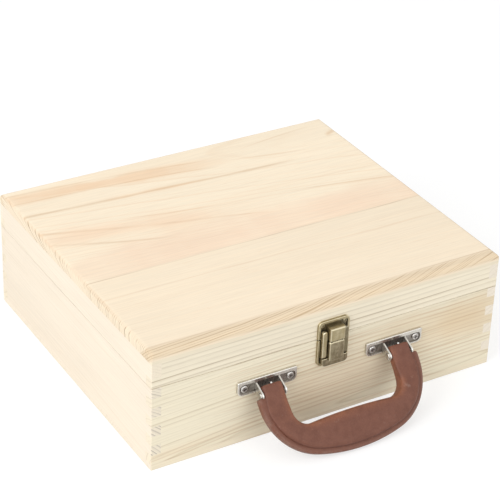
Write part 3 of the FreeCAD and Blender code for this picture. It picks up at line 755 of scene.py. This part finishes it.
@dataclass(frozen=True)
class MetalFinish:
    """Plated metal with tarnish in its low places, worn edges with a painted highlight, and painted shade in
    its inner corners.

    Floor and rim are heights out of the wall, ragged and reach are lengths, and painted shade deepens on the
    side past a span of X, all in millimetres.
    """

    bright: Colour
    # Colour of worn blotches and of the painted highlight on edges
    rubbed_and_highlight: Colour
    tarnish: Colour
    floor: float
    rim: float
    rough: Span
    side: Side = Side.FRONT
    ragged: float = 1.0
    scratch: float = 0.25
    depth: float = 1.0
    # Strength of the painted shade, with soiling, in inner corners
    grime_and_shade: float = 0.7
    reach: float = 0.6
    # Strength of the painted highlight on worn edges
    rub_and_highlight: float = 0.75
    # Painted shade towards the piece's right side: its strength, and the span of X over which it deepens
    shaded_side: float = 0.0
    shaded_side_span: Span = (4.0, 9.0)
    metallic: float = 1.0
    tarnished_metallic: float = 0.75
    blotch_step: Step = (0.35, 0.7, 0.0, 0.3)
    scratch_span: Span = (0.3, 0.75)
    rough_span: Span = (0.2, 0.8)
    grain_relief: float = 0.6
    relief: Span = (0.12, 0.0001)

    def material(self, name: str, wall: float) -> bpy.types.Material:
        """Make the metal's material.

        Args:
            name: The material's name.
            wall: Y of the wall that the fitting is screwed to, in metres.

        Returns:
            The material.
        """
        material, graph, shader = new_material(name)
        coordinate = graph.add("TexCoord")
        split = graph.add("SeparateXYZ", {0: coordinate.outputs["Object"]}).outputs
        normal = graph.add("SeparateXYZ", {0: coordinate.outputs["Normal"]}).outputs
        sign = self.side.value
        patina = graph.group(Patina(), dict(
            {axis: split[axis] for axis in "XYZ"}, Out=graph.times_plus(split["Y"], sign, -wall * sign),
            Facing=graph.times(normal["Y"], sign), Floor=self.floor * MM, Rim=self.rim * MM,
            Ragged=self.ragged * MM))
        wear_and_light = graph.group(EdgeWearAndLight(), dict(
            {"Normal " + axis: normal[axis] for axis in "XYZ"}, Reach=self.reach * MM))
        plated = graph.mix(graph.step(patina["Blotch"], *self.blotch_step), self.bright, self.rubbed_and_highlight)
        scratches = graph.step(patina["Scratch"], *self.scratch_span, 0.0, self.scratch)
        plated = graph.mix(scratches, plated, self.tarnish)
        # Worn edges lightened by a painted highlight
        plated = graph.tint(plated, wear_and_light["Edge"], self.rub_and_highlight, self.rubbed_and_highlight)
        # Tarnish in low places, on the nickel brackets partly painted shade in the pockets, and painted shade
        # with soiling in inner corners
        dirt_and_shade = graph.math("MAXIMUM", graph.times(patina["Low"], self.depth),
                          graph.times(wear_and_light["Crevice"], self.grime_and_shade))
        # Painted shade that deepens towards the piece's right side
        if self.shaded_side:
            start, end = (edge * MM for edge in self.shaded_side_span)
            dirt_and_shade = graph.math("MAXIMUM", dirt_and_shade, graph.step(split["X"], start, end, 0.0, self.shaded_side))
        height = graph.plus(patina["Scratch"], graph.times(patina["Grain"], self.grain_relief))
        graph.feed(shader, {
            "Base Color": graph.mix(dirt_and_shade, plated, self.tarnish),
            "Metallic": graph.step(dirt_and_shade, 0.0, 1.0, self.metallic, self.tarnished_metallic * self.metallic),
            "Roughness": graph.step(patina["Scratch"], *self.rough_span, *self.rough),
            "Normal": graph.relief(height, *self.relief)})
        return material


class HidePattern(Enum):
    """What the leather's marks and painted light follow: the place across (0 inside, 1 outside) or one of
    three noises.
    """

    ACROSS = "across"
    MOTTLE = "mottle"
    PATCH = "patch"
    FLECK = "fleck"


@dataclass(frozen=True)
class HideWearAndLight:
    """A change of the leather's colour where two patterns are both within their steps."""

    first: HidePattern
    first_step: Step
    second: HidePattern
    second_step: Step
    strength: float
    tone: Colour


DEEP_HIDE: Colour = (0.088, 0.031, 0.021)
# Orange of worn leather that also carries a painted highlight on the inner ridge
RUBBED_AND_LIT_HIDE: Colour = (0.34, 0.125, 0.06)
SCUFFED_HIDE: Colour = (0.46, 0.31, 0.25)


@dataclass(frozen=True)
class LeatherFinish:
    """Reddish brown leather, pebbled and mottled.

    It is orange along its inner edge from worn leather and a painted highlight, pale along its rim from a
    worn edge and a painted highlight, darkened by painted shade in the sewn groove, and worn and flecked.
    """

    ground: Colour = (0.178, 0.0645, 0.0375)
    pebble: float = 900.0
    grain: Noise = (1500.0, 2.0, 0.6)
    mottle: Noise = (130.0, 4.0, 0.6)
    patch: Noise = (38.0, 3.0, 0.6)
    fleck: Noise = (330.0, 3.0, 0.65)
    mottle_step: Step = (0.3, 0.8, 0.0, 0.42)
    wear_and_light: tuple[HideWearAndLight, ...] = (
        # Orange along the inner ridge: worn leather and a painted highlight
        HideWearAndLight(HidePattern.ACROSS, (0.34, 0.02), HidePattern.PATCH, (0.3, 0.62), 0.52, RUBBED_AND_LIT_HIDE),
        # Pale line along the outer rim: a worn edge and a painted highlight
        HideWearAndLight(HidePattern.ACROSS, (1.1, 1.18), HidePattern.MOTTLE, (0.35, 0.6), 0.2, SCUFFED_HIDE),
        # Painted shade in the sewn groove between the grip and its edge
        HideWearAndLight(HidePattern.ACROSS, (0.93, 0.99), HidePattern.ACROSS, (1.06, 1.01), 0.28, DEEP_HIDE),
        HideWearAndLight(HidePattern.MOTTLE, (0.58, 0.74), HidePattern.PATCH, (0.5, 0.66), 0.4, SCUFFED_HIDE),
        HideWearAndLight(HidePattern.FLECK, (0.6, 0.8), HidePattern.PATCH, (0.36, 0.6), 0.24, SCUFFED_HIDE),
    )
    crease_step: Step = (0.25, 0.75)
    crease: float = 0.22
    roughness: Step = (0.25, 0.75, 0.42, 0.62)
    specular: float = 0.4
    grain_relief: float = 0.5
    relief: Span = (0.3, 0.0003)

    def material(self, name: str) -> bpy.types.Material:
        """Make the leather's material, which reads the pieces' own place across the strap.

        Args:
            name: The material's name.

        Returns:
            The material.
        """
        material, graph, shader = new_material(name)
        place = graph.add("TexCoord").outputs["Object"]
        mottle = graph.noise(place, *self.mottle)
        across = graph.add("Attribute", attribute_name=HidePattern.ACROSS.value)
        patterns = {
            HidePattern.ACROSS: across.outputs["Fac"],
            HidePattern.MOTTLE: mottle,
            HidePattern.PATCH: graph.noise(place, *self.patch),
            HidePattern.FLECK: graph.noise(place, *self.fleck)}
        colour = graph.mix(graph.step(mottle, *self.mottle_step), self.ground, DEEP_HIDE)
        for wear_and_light in self.wear_and_light:
            mask = graph.times(graph.step(patterns[wear_and_light.first], *wear_and_light.first_step),
                               graph.step(patterns[wear_and_light.second], *wear_and_light.second_step))
            colour = graph.tint(colour, mask, wear_and_light.strength, wear_and_light.tone)
        cells = graph.add("TexVoronoi", {"Vector": place, "Scale": self.pebble}, feature="SMOOTH_F1")
        pebble = cells.outputs["Distance"]
        colour = graph.tint(colour, graph.step(pebble, *self.crease_step), self.crease, DEEP_HIDE)
        uneven = graph.times(graph.plus(graph.noise(place, *self.grain), mottle), self.grain_relief)
        graph.feed(shader, {
            "Base Color": colour, "Roughness": graph.step(mottle, *self.roughness),
            "Specular IOR Level": self.specular,
            "Normal": graph.relief(graph.times_plus(pebble, -1.0, uneven), *self.relief)})
        return material


def dress(names: Sequence[str], material: bpy.types.Material) -> None:
    """Give one material to every slot of the named nodes.

    Args:
        names: The nodes.
        material: Their material.
    """
    for name in names:
        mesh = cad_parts[name].data
        if not mesh.materials:
            mesh.materials.append(material)
        for number in range(len(mesh.materials)):
            mesh.materials[number] = material
        LOG.info("dressed %s with %s", name, material.name)


LID_FRONT_STREAKS = (
    Streak((-200, -57.5), (0, -58.5), (200, -63), 0.9, 0.28, AMBER),
    Streak((-400, -28), (-200, -28), (-60, -28), 0.7, 0.75, BROWN, 110),
    Streak((-130, -28), (60, -28), (400, -28), 0.6, 0.6, BROWN, 150),
    Streak((-230, -135.2), (0, -135.4), (230, -135.8), 0.8, 0.6, BROWN),
)
LID_REAR_STREAKS = (
    Streak((-280, -8), (0, -9), (280, -10), 20, 0.5, PINK, 60, 6),
    Streak((-140, -12), (60, -12), (320, -12), 17, 0.3, PINK, 130, 4),
    Streak((-220, 58), (-60, 34), (60, 18), 15, 0.5, PEACH, 70),
    Streak((-210, 128.5), (-70, 122), (60, 109), 8, 0.52, ORANGE, 50, 4),
    Streak((-210, 137.5), (-70, 130), (30, 117), 0.9, 0.5, AMBER),
    Streak((-210, 121.5), (-70, 115), (35, 103), 0.8, 0.45, AMBER),
    Streak((40, 111), (90, 101), (145, 91), 0.9, 0.4, AMBER),
    Streak((65, 124), (105, 130), (150, 135.5), 0.9, 0.4, AMBER),
    Streak((-200, 99), (-45, 88.6), (105, 82), 1.6, 0.5, CARAMEL),
    Streak((-100, 92.5), (-35, 88.2), (20, 85), 2.6, 0.3, ORANGE),
    Streak((-210, 76), (-120, 48.5), (-55, 29), 1.3, 0.45, AMBER, 40),
    Streak((-205, 62), (-150, 49.4), (-105, 40), 0.7, 0.4, BROWN),
    Streak((-200, 57), (-130, 27.5), (-62, 7.5), 1.8, 0.5, CARAMEL, 25),
    Streak((-100, 57.5), (-45, 46), (25, 33.5), 1.1, 0.35, AMBER),
    Streak((-85, 36), (-10, 19), (40, 5), 1.4, 0.42, AMBER),
    Streak((55, 35.5), (120, 23.5), (210, 5), 1.1, 0.45, AMBER, 40),
    Streak((-5, 52), (90, 45), (210, 36), 0.9, 0.35, AMBER, 40),
    Streak((-230, -26.6), (0, -26.6), (230, -26.6), 1, 0.15, BROWN),
    Streak((154, 111), (162, 115), (170, 119), 2.4, 0.5, AMBER, 5),
)
FRONT_WALL_STREAKS = (
    Streak((-10, 58), (100, 58), (240, 58), 18, 0.72, TAN, 90, 3),
    # Warm patch between the handle legs, partly the wood's tone and partly painted shade below the latch
    Streak((-90, 24), (10, 28), (110, 32), 20, 0.24, APRICOT, 60, 3),
    Streak((-210, 0), (-130, 8.5), (-55, 14.5), 0.65, 0.6, BROWN, 40),
    Streak((-210, 4.5), (-130, 12.5), (-55, 18), 0.7, 0.5, BROWN, 40),
    Streak((-210, -4.5), (-120, 5.5), (-35, 11.5), 0.8, 0.5, BROWN, 40),
    Streak((-200, 10), (-130, 16.5), (-75, 20.5), 0.7, 0.4, BROWN, 40),
    Streak((-200, 9), (-130, 15), (-60, 20), 4, 0.12, ORANGE, 40),
    Streak((60, 10), (120, 6), (210, 1), 1.2, 0.5, BROWN),
    # Painted shade along the gap under the lid, fading towards the right
    Streak((-300, 80.5), (-100, 80.5), (30, 80.5), 0.35, 0.72, SEAM_SHADE, 90),
) + tuple(
    Streak((-120, level), (20, level + 1.8), (190, level + 2.6), 0.6, 0.55, RUST, 60)
    for level in range(12, 74, 4))


@dataclass
class WoodenCase:
    """The pine boards of the case and the lid."""

    boards: dict[str, PineFinish] = field(default_factory=lambda: {
        "lid_top_front_board": PineFinish(
            GrainAxis.PANEL_ALONG_WIDTH, pith=(40, 78), spacing=2.4, lean=(0.02, 0), seed=3,
            lines=0.12, end_lines=2, slant=0.34, early=(0.91, 0.78, 0.60), late=(0.74, 0.48, 0.27),
            end_tone=(0.91, 0.78, 0.60), end_late=(0.34, 0.23, 0.13),
            edge=EdgeStrokes(outward=-1, start=22, end=38.6, slope=-0.23, bend=-0.0006, spacing=3,
                             strength=0.95, tint=0.48, face=(0.835, 0.745, 0.58)),
            streaks=LID_FRONT_STREAKS),
        "lid_top_rear_board": PineFinish(
            GrainAxis.PANEL_ALONG_WIDTH, pith=(135, -110), spacing=2.5, lean=(-0.11, 0.02), waviness=7,
            seed=11, lines=0.26, end_lines=2, slant=0.34, early=(0.948, 0.823, 0.637),
            late=(0.78, 0.47, 0.25), end_tone=(0.91, 0.78, 0.60), end_late=(0.34, 0.23, 0.13),
            edge=EdgeStrokes(outward=1, start=30, end=38.6, slope=0.12, bend=0.0003, spacing=2.6,
                             strength=0.7, tint=0.25, face=(0.89, 0.77, 0.59)),
            streaks=LID_REAR_STREAKS),
        "lid_front_wall": PineFinish(
            GrainAxis.WALL_ALONG_WIDTH, pith=(-60, -170), spacing=5.2, lean=(0.012, 0), waviness=3,
            seed=21, lines=1, early=(0.893, 0.812, 0.648), late=(0.40, 0.31, 0.19),
            # Painted shade along the gap above the base
            streaks=(Streak((-300, 81.1), (-100, 81.1), (30, 81.1), 0.35, 0.72, SEAM_SHADE, 90),)),
        "lid_back_wall": PineFinish(
            GrainAxis.WALL_ALONG_WIDTH, pith=(-40, 190), spacing=5.6, lean=(0.01, 0), seed=24, lines=0.8),
        "base_front_wall": PineFinish(
            GrainAxis.WALL_ALONG_WIDTH, pith=(8, -152), spacing=3.7, lean=(0.03, 0.06), waviness=3.5,
            seed=31, lines=0.6, early=(0.862, 0.788, 0.618), late=(0.47, 0.365, 0.215),
            streaks=FRONT_WALL_STREAKS),
        "base_back_wall": PineFinish(
            GrainAxis.WALL_ALONG_WIDTH, pith=(60, 160), spacing=4.4, lean=(0.015, -0.05), seed=37, lines=0.8),
        "lid_left_wall": PineFinish(
            GrainAxis.WALL_ALONG_DEPTH, pith=(-20, -225), spacing=3.4, lean=(0.01, 0.04), seed=41,
            lines=0.14, end_lines=0.3, early=(0.88, 0.78, 0.645), end_tone=(0.86, 0.77, 0.62)),
        "lid_right_wall": PineFinish(
            GrainAxis.WALL_ALONG_DEPTH, pith=(20, 222), spacing=3.8, lean=(0.01, 0.04), seed=43,
            lines=0.35, end_lines=0.3, end_tone=(0.86, 0.78, 0.66)),
        "base_left_wall": PineFinish(
            GrainAxis.WALL_ALONG_DEPTH, pith=(-45, -228), spacing=3, lean=(0, 0.05), waviness=2,
            seed=47, lines=0.14, end_lines=1.7, early=(0.88, 0.78, 0.645), end_tone=(0.85, 0.77, 0.63),
            end_late=(0.40, 0.35, 0.29)),
        "base_right_wall": PineFinish(
            GrainAxis.WALL_ALONG_DEPTH, pith=(-20, 206), spacing=3.9, lean=(0, -0.05), seed=53,
            lines=0.35, end_lines=0.3, end_tone=(0.86, 0.78, 0.66)),
        "base_bottom_board": PineFinish(
            GrainAxis.PANEL_ALONG_WIDTH, pith=(-120, -20), spacing=3.2, lean=(0, 0.04), seed=59,
            lines=0.45, end_lines=0.3, early=(0.87, 0.78, 0.61), end_tone=(0.88, 0.78, 0.645)),
    })

    def finish(self) -> None:
        """Dress every board with its own grain."""
        for name, finish in self.boards.items():
            dress([name], finish.material("pine_" + name))


LATCH_BRONZE = MetalFinish(
    bright=(0.41, 0.34, 0.195), rubbed_and_highlight=(0.76, 0.69, 0.50), tarnish=(0.035, 0.028, 0.018),
    floor=0.9, rim=2.3, rough=(0.32, 0.5), ragged=1.4, scratch=0.3)


@dataclass
class MetalFittings:
    """Latch, handle brackets, pins, screws, hinges and the handle's steel strip."""

    plate_bronze: MetalFinish = replace(LATCH_BRONZE, depth=0.72)
    # The bail's right arm gets painted shade
    bail_bronze: MetalFinish = replace(LATCH_BRONZE, rubbed_and_highlight=(0.80, 0.74, 0.56), shaded_side=0.5)
    lever_bronze: MetalFinish = replace(
        LATCH_BRONZE, bright=(0.255, 0.205, 0.125), rubbed_and_highlight=(0.70, 0.63, 0.45),
        rough=(0.34, 0.52), scratch=0.4)
    hinge_bronze: MetalFinish = MetalFinish(
        bright=(0.40, 0.33, 0.19), rubbed_and_highlight=(0.55, 0.48, 0.31), tarnish=(0.05, 0.04, 0.025),
        floor=-0.6, rim=1.4, rough=(0.34, 0.52), side=Side.BACK, ragged=1.6, scratch=0.35)
    # The nickel's dark low places are partly tarnish and partly painted shade in the bracket's pockets
    nickel: MetalFinish = MetalFinish(
        bright=(0.60, 0.57, 0.51), rubbed_and_highlight=(0.84, 0.82, 0.78), tarnish=(0.075, 0.053, 0.042),
        floor=1.2, rim=2.2, rough=(0.22, 0.38), ragged=1.6, scratch=0.15, depth=0.66, grime_and_shade=0.8, metallic=0.9)
    screw_nickel: MetalFinish = MetalFinish(
        bright=(0.46, 0.43, 0.40), rubbed_and_highlight=(0.74, 0.72, 0.69), tarnish=(0.05, 0.038, 0.032),
        floor=1.6, rim=2.7, rough=(0.26, 0.4), ragged=0.4, scratch=0.2, reach=0.4)
    steel: MetalFinish = MetalFinish(
        bright=(0.56, 0.55, 0.53), rubbed_and_highlight=(0.66, 0.65, 0.63), tarnish=(0.2, 0.19, 0.18),
        floor=-5.0, rim=-2.0, rough=(0.28, 0.42), scratch=0.3)

    def finish(self) -> None:
        """Dress every metal node by the kind of fitting it is."""
        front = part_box("base_front_wall")[0].y
        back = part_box("base_back_wall")[1].y
        kinds = (
            ("latch_bronze", self.plate_bronze, front, ("latch_catch_", "latch_base_")),
            ("bail_bronze", self.bail_bronze, front, ("latch_bail",)),
            ("lever_bronze", self.lever_bronze, front, ("latch_lever",)),
            ("hinge_bronze", self.hinge_bronze, back, ("hinge_",)),
            ("screw_nickel", self.screw_nickel, front, ("handle_bracket_screws_", "handle_pivot_pin_")),
            ("bracket_nickel", self.nickel, front, ("handle_bracket_left", "handle_bracket_right")),
            ("strip_steel", self.steel, front, ("handle_core_strip",)),
        )
        for name, finish, wall, starts in kinds:
            nodes = [node for node in sorted(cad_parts) if node.startswith(starts)]
            dress(nodes, finish.material(name, wall))


@dataclass
class CarryingHandle:
    """Leather grip with its sewn edge, in millimetres about the pivot axis.

    It is drawn hanging straight down and then turned. A point of the handle's plane is x and reach below
    the pivots.
    """

    leather: bpy.types.Material
    pivot: Span = (-157.5, 50.0)
    tilt: float = 41.807
    leg_centre: float = 63.0
    leg_width: float = 19.0
    leg_tail: float = 7.0
    leg_thickness: float = 10.0
    taper: Span = (8.0, 36.0)
    reach: float = 58.9
    grip_depth: float = 25.6
    grip_thickness: float = 15.0
    grip_squareness: float = 4.6
    bow: float = 150.0
    outer_bend: float = 46.0
    inner_bend: float = 13.0
    inner_bow: float = 1.7
    flange: float = 6.3
    flange_thickness: float = 6.6
    flange_squareness: float = 5.0
    flange_across: Span = (0.85, 1.2)
    flange_start: float = 5.2
    half_length: float = 150.0
    puff: float = 2.1
    swell_run: float = 0.1
    cap_inset: float = 1.2
    cap_bulge: float = 0.8
    merge: float = 0.01
    stations: int = 36
    section_points: int = 40
    subdivisions: int = 1

    def leg_point(self, along: float, half: float, straight: float, bend: float) -> Vector:
        """Point of a leg's straight edge or of the bend below it.

        Args:
            along: The length along the outline from the leg's end.
            half: The edge's x.
            straight: The reach at which the bend starts.
            bend: The bend's radius.

        Returns:
            The point.
        """
        angle = max(0.0, along - straight - self.leg_tail) / bend
        reach = min(straight, along - self.leg_tail)
        return Vector((half - bend * (1 - math.cos(angle)), reach + bend * math.sin(angle)))

    def outer_point(self, share: float) -> Vector:
        """Point of the right half's outer outline.

        Args:
            share: 0 at the leg's end, 1 at the middle of the grip.

        Returns:
            The point.
        """
        half = self.leg_centre + self.leg_width / 2
        bend_x = half - self.outer_bend
        bow_centre = self.reach - self.bow
        straight = bow_centre + math.sqrt((self.bow - self.outer_bend) ** 2 - bend_x ** 2)
        lean = math.atan2(bend_x, straight - bow_centre)
        bent = straight + self.leg_tail + self.outer_bend * (math.pi / 2 - lean)
        along = share * (bent + self.bow * lean)
        if along <= bent:
            return self.leg_point(along, half, straight, self.outer_bend)
        angle = lean - (along - bent) / self.bow
        return Vector((self.bow * math.sin(angle), bow_centre + self.bow * math.cos(angle)))

    def inner_point(self, share: float) -> Vector:
        """Point of the right half's inner outline.

        Args:
            share: 0 at the leg's end, 1 at the middle of the grip.

        Returns:
            The point.
        """
        half = self.leg_centre - self.leg_width / 2
        reach = self.reach - self.grip_depth
        straight = reach - self.inner_bend
        middle = half - self.inner_bend
        bent = straight + self.leg_tail + self.inner_bend * math.pi / 2
        along = share * (bent + middle)
        if along <= bent:
            return self.leg_point(along, half, straight, self.inner_bend)
        x = middle - (along - bent)
        return Vector((x, reach - self.inner_bow * (1 - (x / middle) ** 2)))

    def thickness(self, reach: float) -> float:
        """Thickness of the grip at a reach below the pivots."""
        share = min(1.0, max(0.0, (reach - self.taper[0]) / (self.taper[1] - self.taper[0])))
        return self.leg_thickness + share ** 2 * (3 - 2 * share) * (self.grip_thickness - self.leg_thickness)

    def section_frame(self, start: Vector, end: Vector, depth: float) -> Matrix:
        """Matrix from a unit section to its place on the hanging handle.

        Args:
            start: The section's inner point.
            end: The section's outer point.
            depth: The section's thickness.

        Returns:
            The matrix: its first axis runs from start to end over -1 to 1, its second through the thickness.
        """
        inner = Vector((start.x, 0.0, -start.y))
        outer = Vector((end.x, 0.0, -end.y))
        wide = (outer - inner) / 2
        normal = Vector((0.0, depth / 2, 0.0))
        run = wide.cross(normal).normalized()
        matrix = Matrix((wide, normal, run)).transposed().to_4x4()
        matrix.translation = (inner + outer) / 2
        return matrix

    def sweep(self, name: str, frames: Sequence[Matrix], squareness: float, across: Span) -> bpy.types.Object:
        """Sweep a rounded section through a run of frames and mirror it to the other side.

        Args:
            name: The piece's name.
            frames: The section's frames, from the leg's end to the middle plane.
            squareness: The section's power: 2 is an ellipse, and higher is squarer.
            across: The place across the strap at the section's inner and outer ends.

        Returns:
            The finished object, turned to rest and placed on the pivots.
        """
        shape = bmesh.new()
        layer = shape.verts.layers.float.new(HidePattern.ACROSS.value)
        bmesh.ops.create_circle(shape, cap_ends=True, segments=self.section_points, radius=1.0)
        power = 2.0 / squareness
        for vert in shape.verts:
            vert.co.x = math.copysign(abs(vert.co.x) ** power, vert.co.x)
            vert.co.y = math.copysign(abs(vert.co.y) ** power, vert.co.y)
            vert[layer] = across[0] + (across[1] - across[0]) * (vert.co.x + 1) / 2
        end_cap = shape.faces[:]
        loop = shape.edges[:]
        bmesh.ops.transform(shape, matrix=frames[0], verts=shape.verts[:])
        for before, after in zip(frames, frames[1:]):
            grown = bmesh.ops.extrude_edge_only(shape, edges=loop)["geom"]
            loop = [item for item in grown if isinstance(item, bmesh.types.BMEdge)]
            fresh = [item for item in grown if isinstance(item, bmesh.types.BMVert)]
            bmesh.ops.transform(shape, matrix=after @ before.inverted(), verts=fresh)
        bmesh.ops.inset_region(shape, faces=end_cap, thickness=self.cap_inset, depth=self.cap_bulge,
                               use_even_offset=True)
        bmesh.ops.mirror(shape, geom=shape.verts[:] + shape.edges[:] + shape.faces[:], axis="X",
                         merge_dist=self.merge)
        bmesh.ops.remove_doubles(shape, verts=shape.verts[:], dist=self.merge)
        bmesh.ops.recalc_face_normals(shape, faces=shape.faces[:])
        turn = Matrix.Rotation(math.radians(-self.tilt), 4, "X")
        move = Matrix.Translation((0.0, *self.pivot))
        bmesh.ops.transform(shape, matrix=Matrix.Scale(MM, 4) @ move @ turn, verts=shape.verts[:])
        for face in shape.faces:
            face.smooth = True
        piece = link_shape(name, shape)
        piece.data.materials.append(self.leather)
        soft = piece.modifiers.new("soft", "SUBSURF")
        soft.levels = self.subdivisions
        soft.render_levels = self.subdivisions
        return piece

    def flange_share(self) -> float:
        """Share of the half outline's length at which the sewn edge starts."""
        return (self.flange_start + self.leg_tail) / self.half_length

    def grip(self) -> bpy.types.Object:
        """Build the padded leather grip: flat legs that swell into the hand bar.

        Returns:
            The grip.
        """
        frames = []
        for number in range(self.stations + 1):
            share = number / self.stations
            inner = self.inner_point(share)
            outer = self.outer_point(share)
            swell = min(1.0, max(0.0, (share - self.flange_share()) / self.swell_run))
            swollen = outer + (outer - inner).normalized() * self.puff * swell
            frames.append(self.section_frame(inner, swollen, self.thickness((inner.y + outer.y) / 2)))
        return self.sweep("handle_leather_grip", frames, self.grip_squareness, (0.0, 1.0))

    def sewn_edge(self) -> bpy.types.Object:
        """Build the thin sewn edge round the outside of the grip.

        Returns:
            The edge.
        """
        first = self.flange_share()
        frames = []
        for number in range(self.stations + 1):
            share = first + (1 - first) * number / self.stations
            outer = self.outer_point(share)
            away = (outer - self.inner_point(share)).normalized() * self.flange
            frames.append(self.section_frame(outer - away, outer + away, self.flange_thickness))
        return self.sweep("handle_sewn_edge", frames, self.flange_squareness, self.flange_across)

    def build(self) -> None:
        """Build both pieces, let them ride on the handle and stand for its soft solids."""
        grip = self.grip()
        edge = self.sewn_edge()
        for piece in (grip, edge):
            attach(piece, "handle")
            LOG.info("built %s", piece.name)
        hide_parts("handle_cover", "handle_padding")


@dataclass(frozen=True)
class SoftLamp:
    """A soft square lamp: its place and the length of its side in metres, and its power in watts."""

    name: str
    place: Triple
    power: float
    size: float

    def build(self, target: Triple) -> None:
        """Put up the lamp.

        Args:
            target: Where it is aimed.
        """
        data = bpy.data.lights.new(self.name, "AREA")
        data.energy = self.power
        data.size = self.size
        place = Vector(self.place)
        turn = (Vector(target) - place).to_track_quat("-Z", "Y")
        link(self.name, data).matrix_world = Matrix.Translation(place) @ turn.to_matrix().to_4x4()


@dataclass(frozen=True)
class Studio:
    """Camera at the photograph's angle, soft light and a white floor, in metres."""

    camera_place: Triple = (-0.735535, -1.208922, 0.928858)
    camera_right: Triple = (0.8622052, -0.5054259, 0.0338646)
    camera_forward: Triple = (0.4493340, 0.7322262, -0.5118044)
    lens: float = 133.34
    sensor: float = 36.0
    ambient: float = 0.76
    lamps: tuple[SoftLamp, ...] = (
        SoftLamp("key_from_left", (-2.2, -0.7, 1.7), 36.5, 1.6),
        SoftLamp("fill_from_front", (0.6, -2.4, 1.2), 11.0, 1.8),
    )
    lamp_target: Triple = (0.0, 0.0, 0.06)
    floor_size: float = 12.0
    floor_lit: Colour = (0.8, 0.8, 0.79)
    floor_seen: Colour = (0.42, 0.42, 0.42)
    floor_glow: Colour = (0.62, 0.62, 0.62)
    floor_roughness: float = 0.9

    def camera(self) -> None:
        """Place the camera."""
        data = bpy.data.cameras.new("photo_camera")
        data.lens = self.lens
        data.sensor_width = self.sensor
        back = -Vector(self.camera_forward).normalized()
        right = Vector(self.camera_right)
        right = (right - back * right.dot(back)).normalized()
        turn = Matrix((right, back.cross(right), back)).transposed().to_4x4()
        turn.translation = self.camera_place
        camera = link("photo_camera", data)
        camera.matrix_world = turn
        bpy.context.scene.camera = camera

    def seen_directly(self, graph: Graph) -> Socket:
        """One for rays from the camera, reflections and glass, zero for the light that falls on things."""
        path = graph.add("LightPath").outputs
        return graph.math("MAXIMUM", graph.math("MAXIMUM", path["Is Camera Ray"], path["Is Glossy Ray"]),
                          path["Is Transmission Ray"])

    def world(self) -> None:
        """White surroundings that light the object at a plain level."""
        world = bpy.data.worlds.new("white_studio")
        world.use_nodes = True
        graph = Graph(world.node_tree)
        seen = self.seen_directly(graph)
        level = graph.add("MapRange", {"Value": seen, "To Min": self.ambient, "To Max": 1.0})
        graph.feed(world.node_tree.nodes["Background"], {
            "Color": (1.0, 1.0, 1.0), "Strength": level.outputs["Result"]})
        bpy.context.scene.world = world

    def floor(self) -> None:
        """White floor that keeps a soft shadow."""
        shape = bmesh.new()
        bmesh.ops.create_grid(shape, x_segments=2, y_segments=2, size=self.floor_size / 2)
        floor = link_shape("studio_floor", shape)
        material, graph, shader = new_material("white_floor")
        seen = self.seen_directly(graph)
        graph.feed(shader, {
            "Base Color": graph.mix(seen, self.floor_lit, self.floor_seen),
            "Roughness": self.floor_roughness, "Specular IOR Level": 0.0,
            "Emission Color": graph.mix(seen, (0.0, 0.0, 0.0), self.floor_glow), "Emission Strength": 1.0})
        floor.data.materials.append(material)

    def build(self) -> None:
        """Set up the camera, the light and the floor."""
        bpy.context.scene.view_settings.view_transform = "Standard"
        self.camera()
        self.world()
        self.floor()
        for lamp in self.lamps:
            lamp.build(self.lamp_target)
        LOG.info("studio is set")


def main() -> None:
    """Dress the case and its fittings, build the handle and set the studio."""
    logging.basicConfig(level=logging.INFO, format="%(name)s: %(message)s")
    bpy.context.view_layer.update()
    WoodenCase().finish()
    MetalFittings().finish()
    CarryingHandle(LeatherFinish().material("handle_leather_brown")).build()
    Studio().build()


if __name__ == "__main__":
    main()
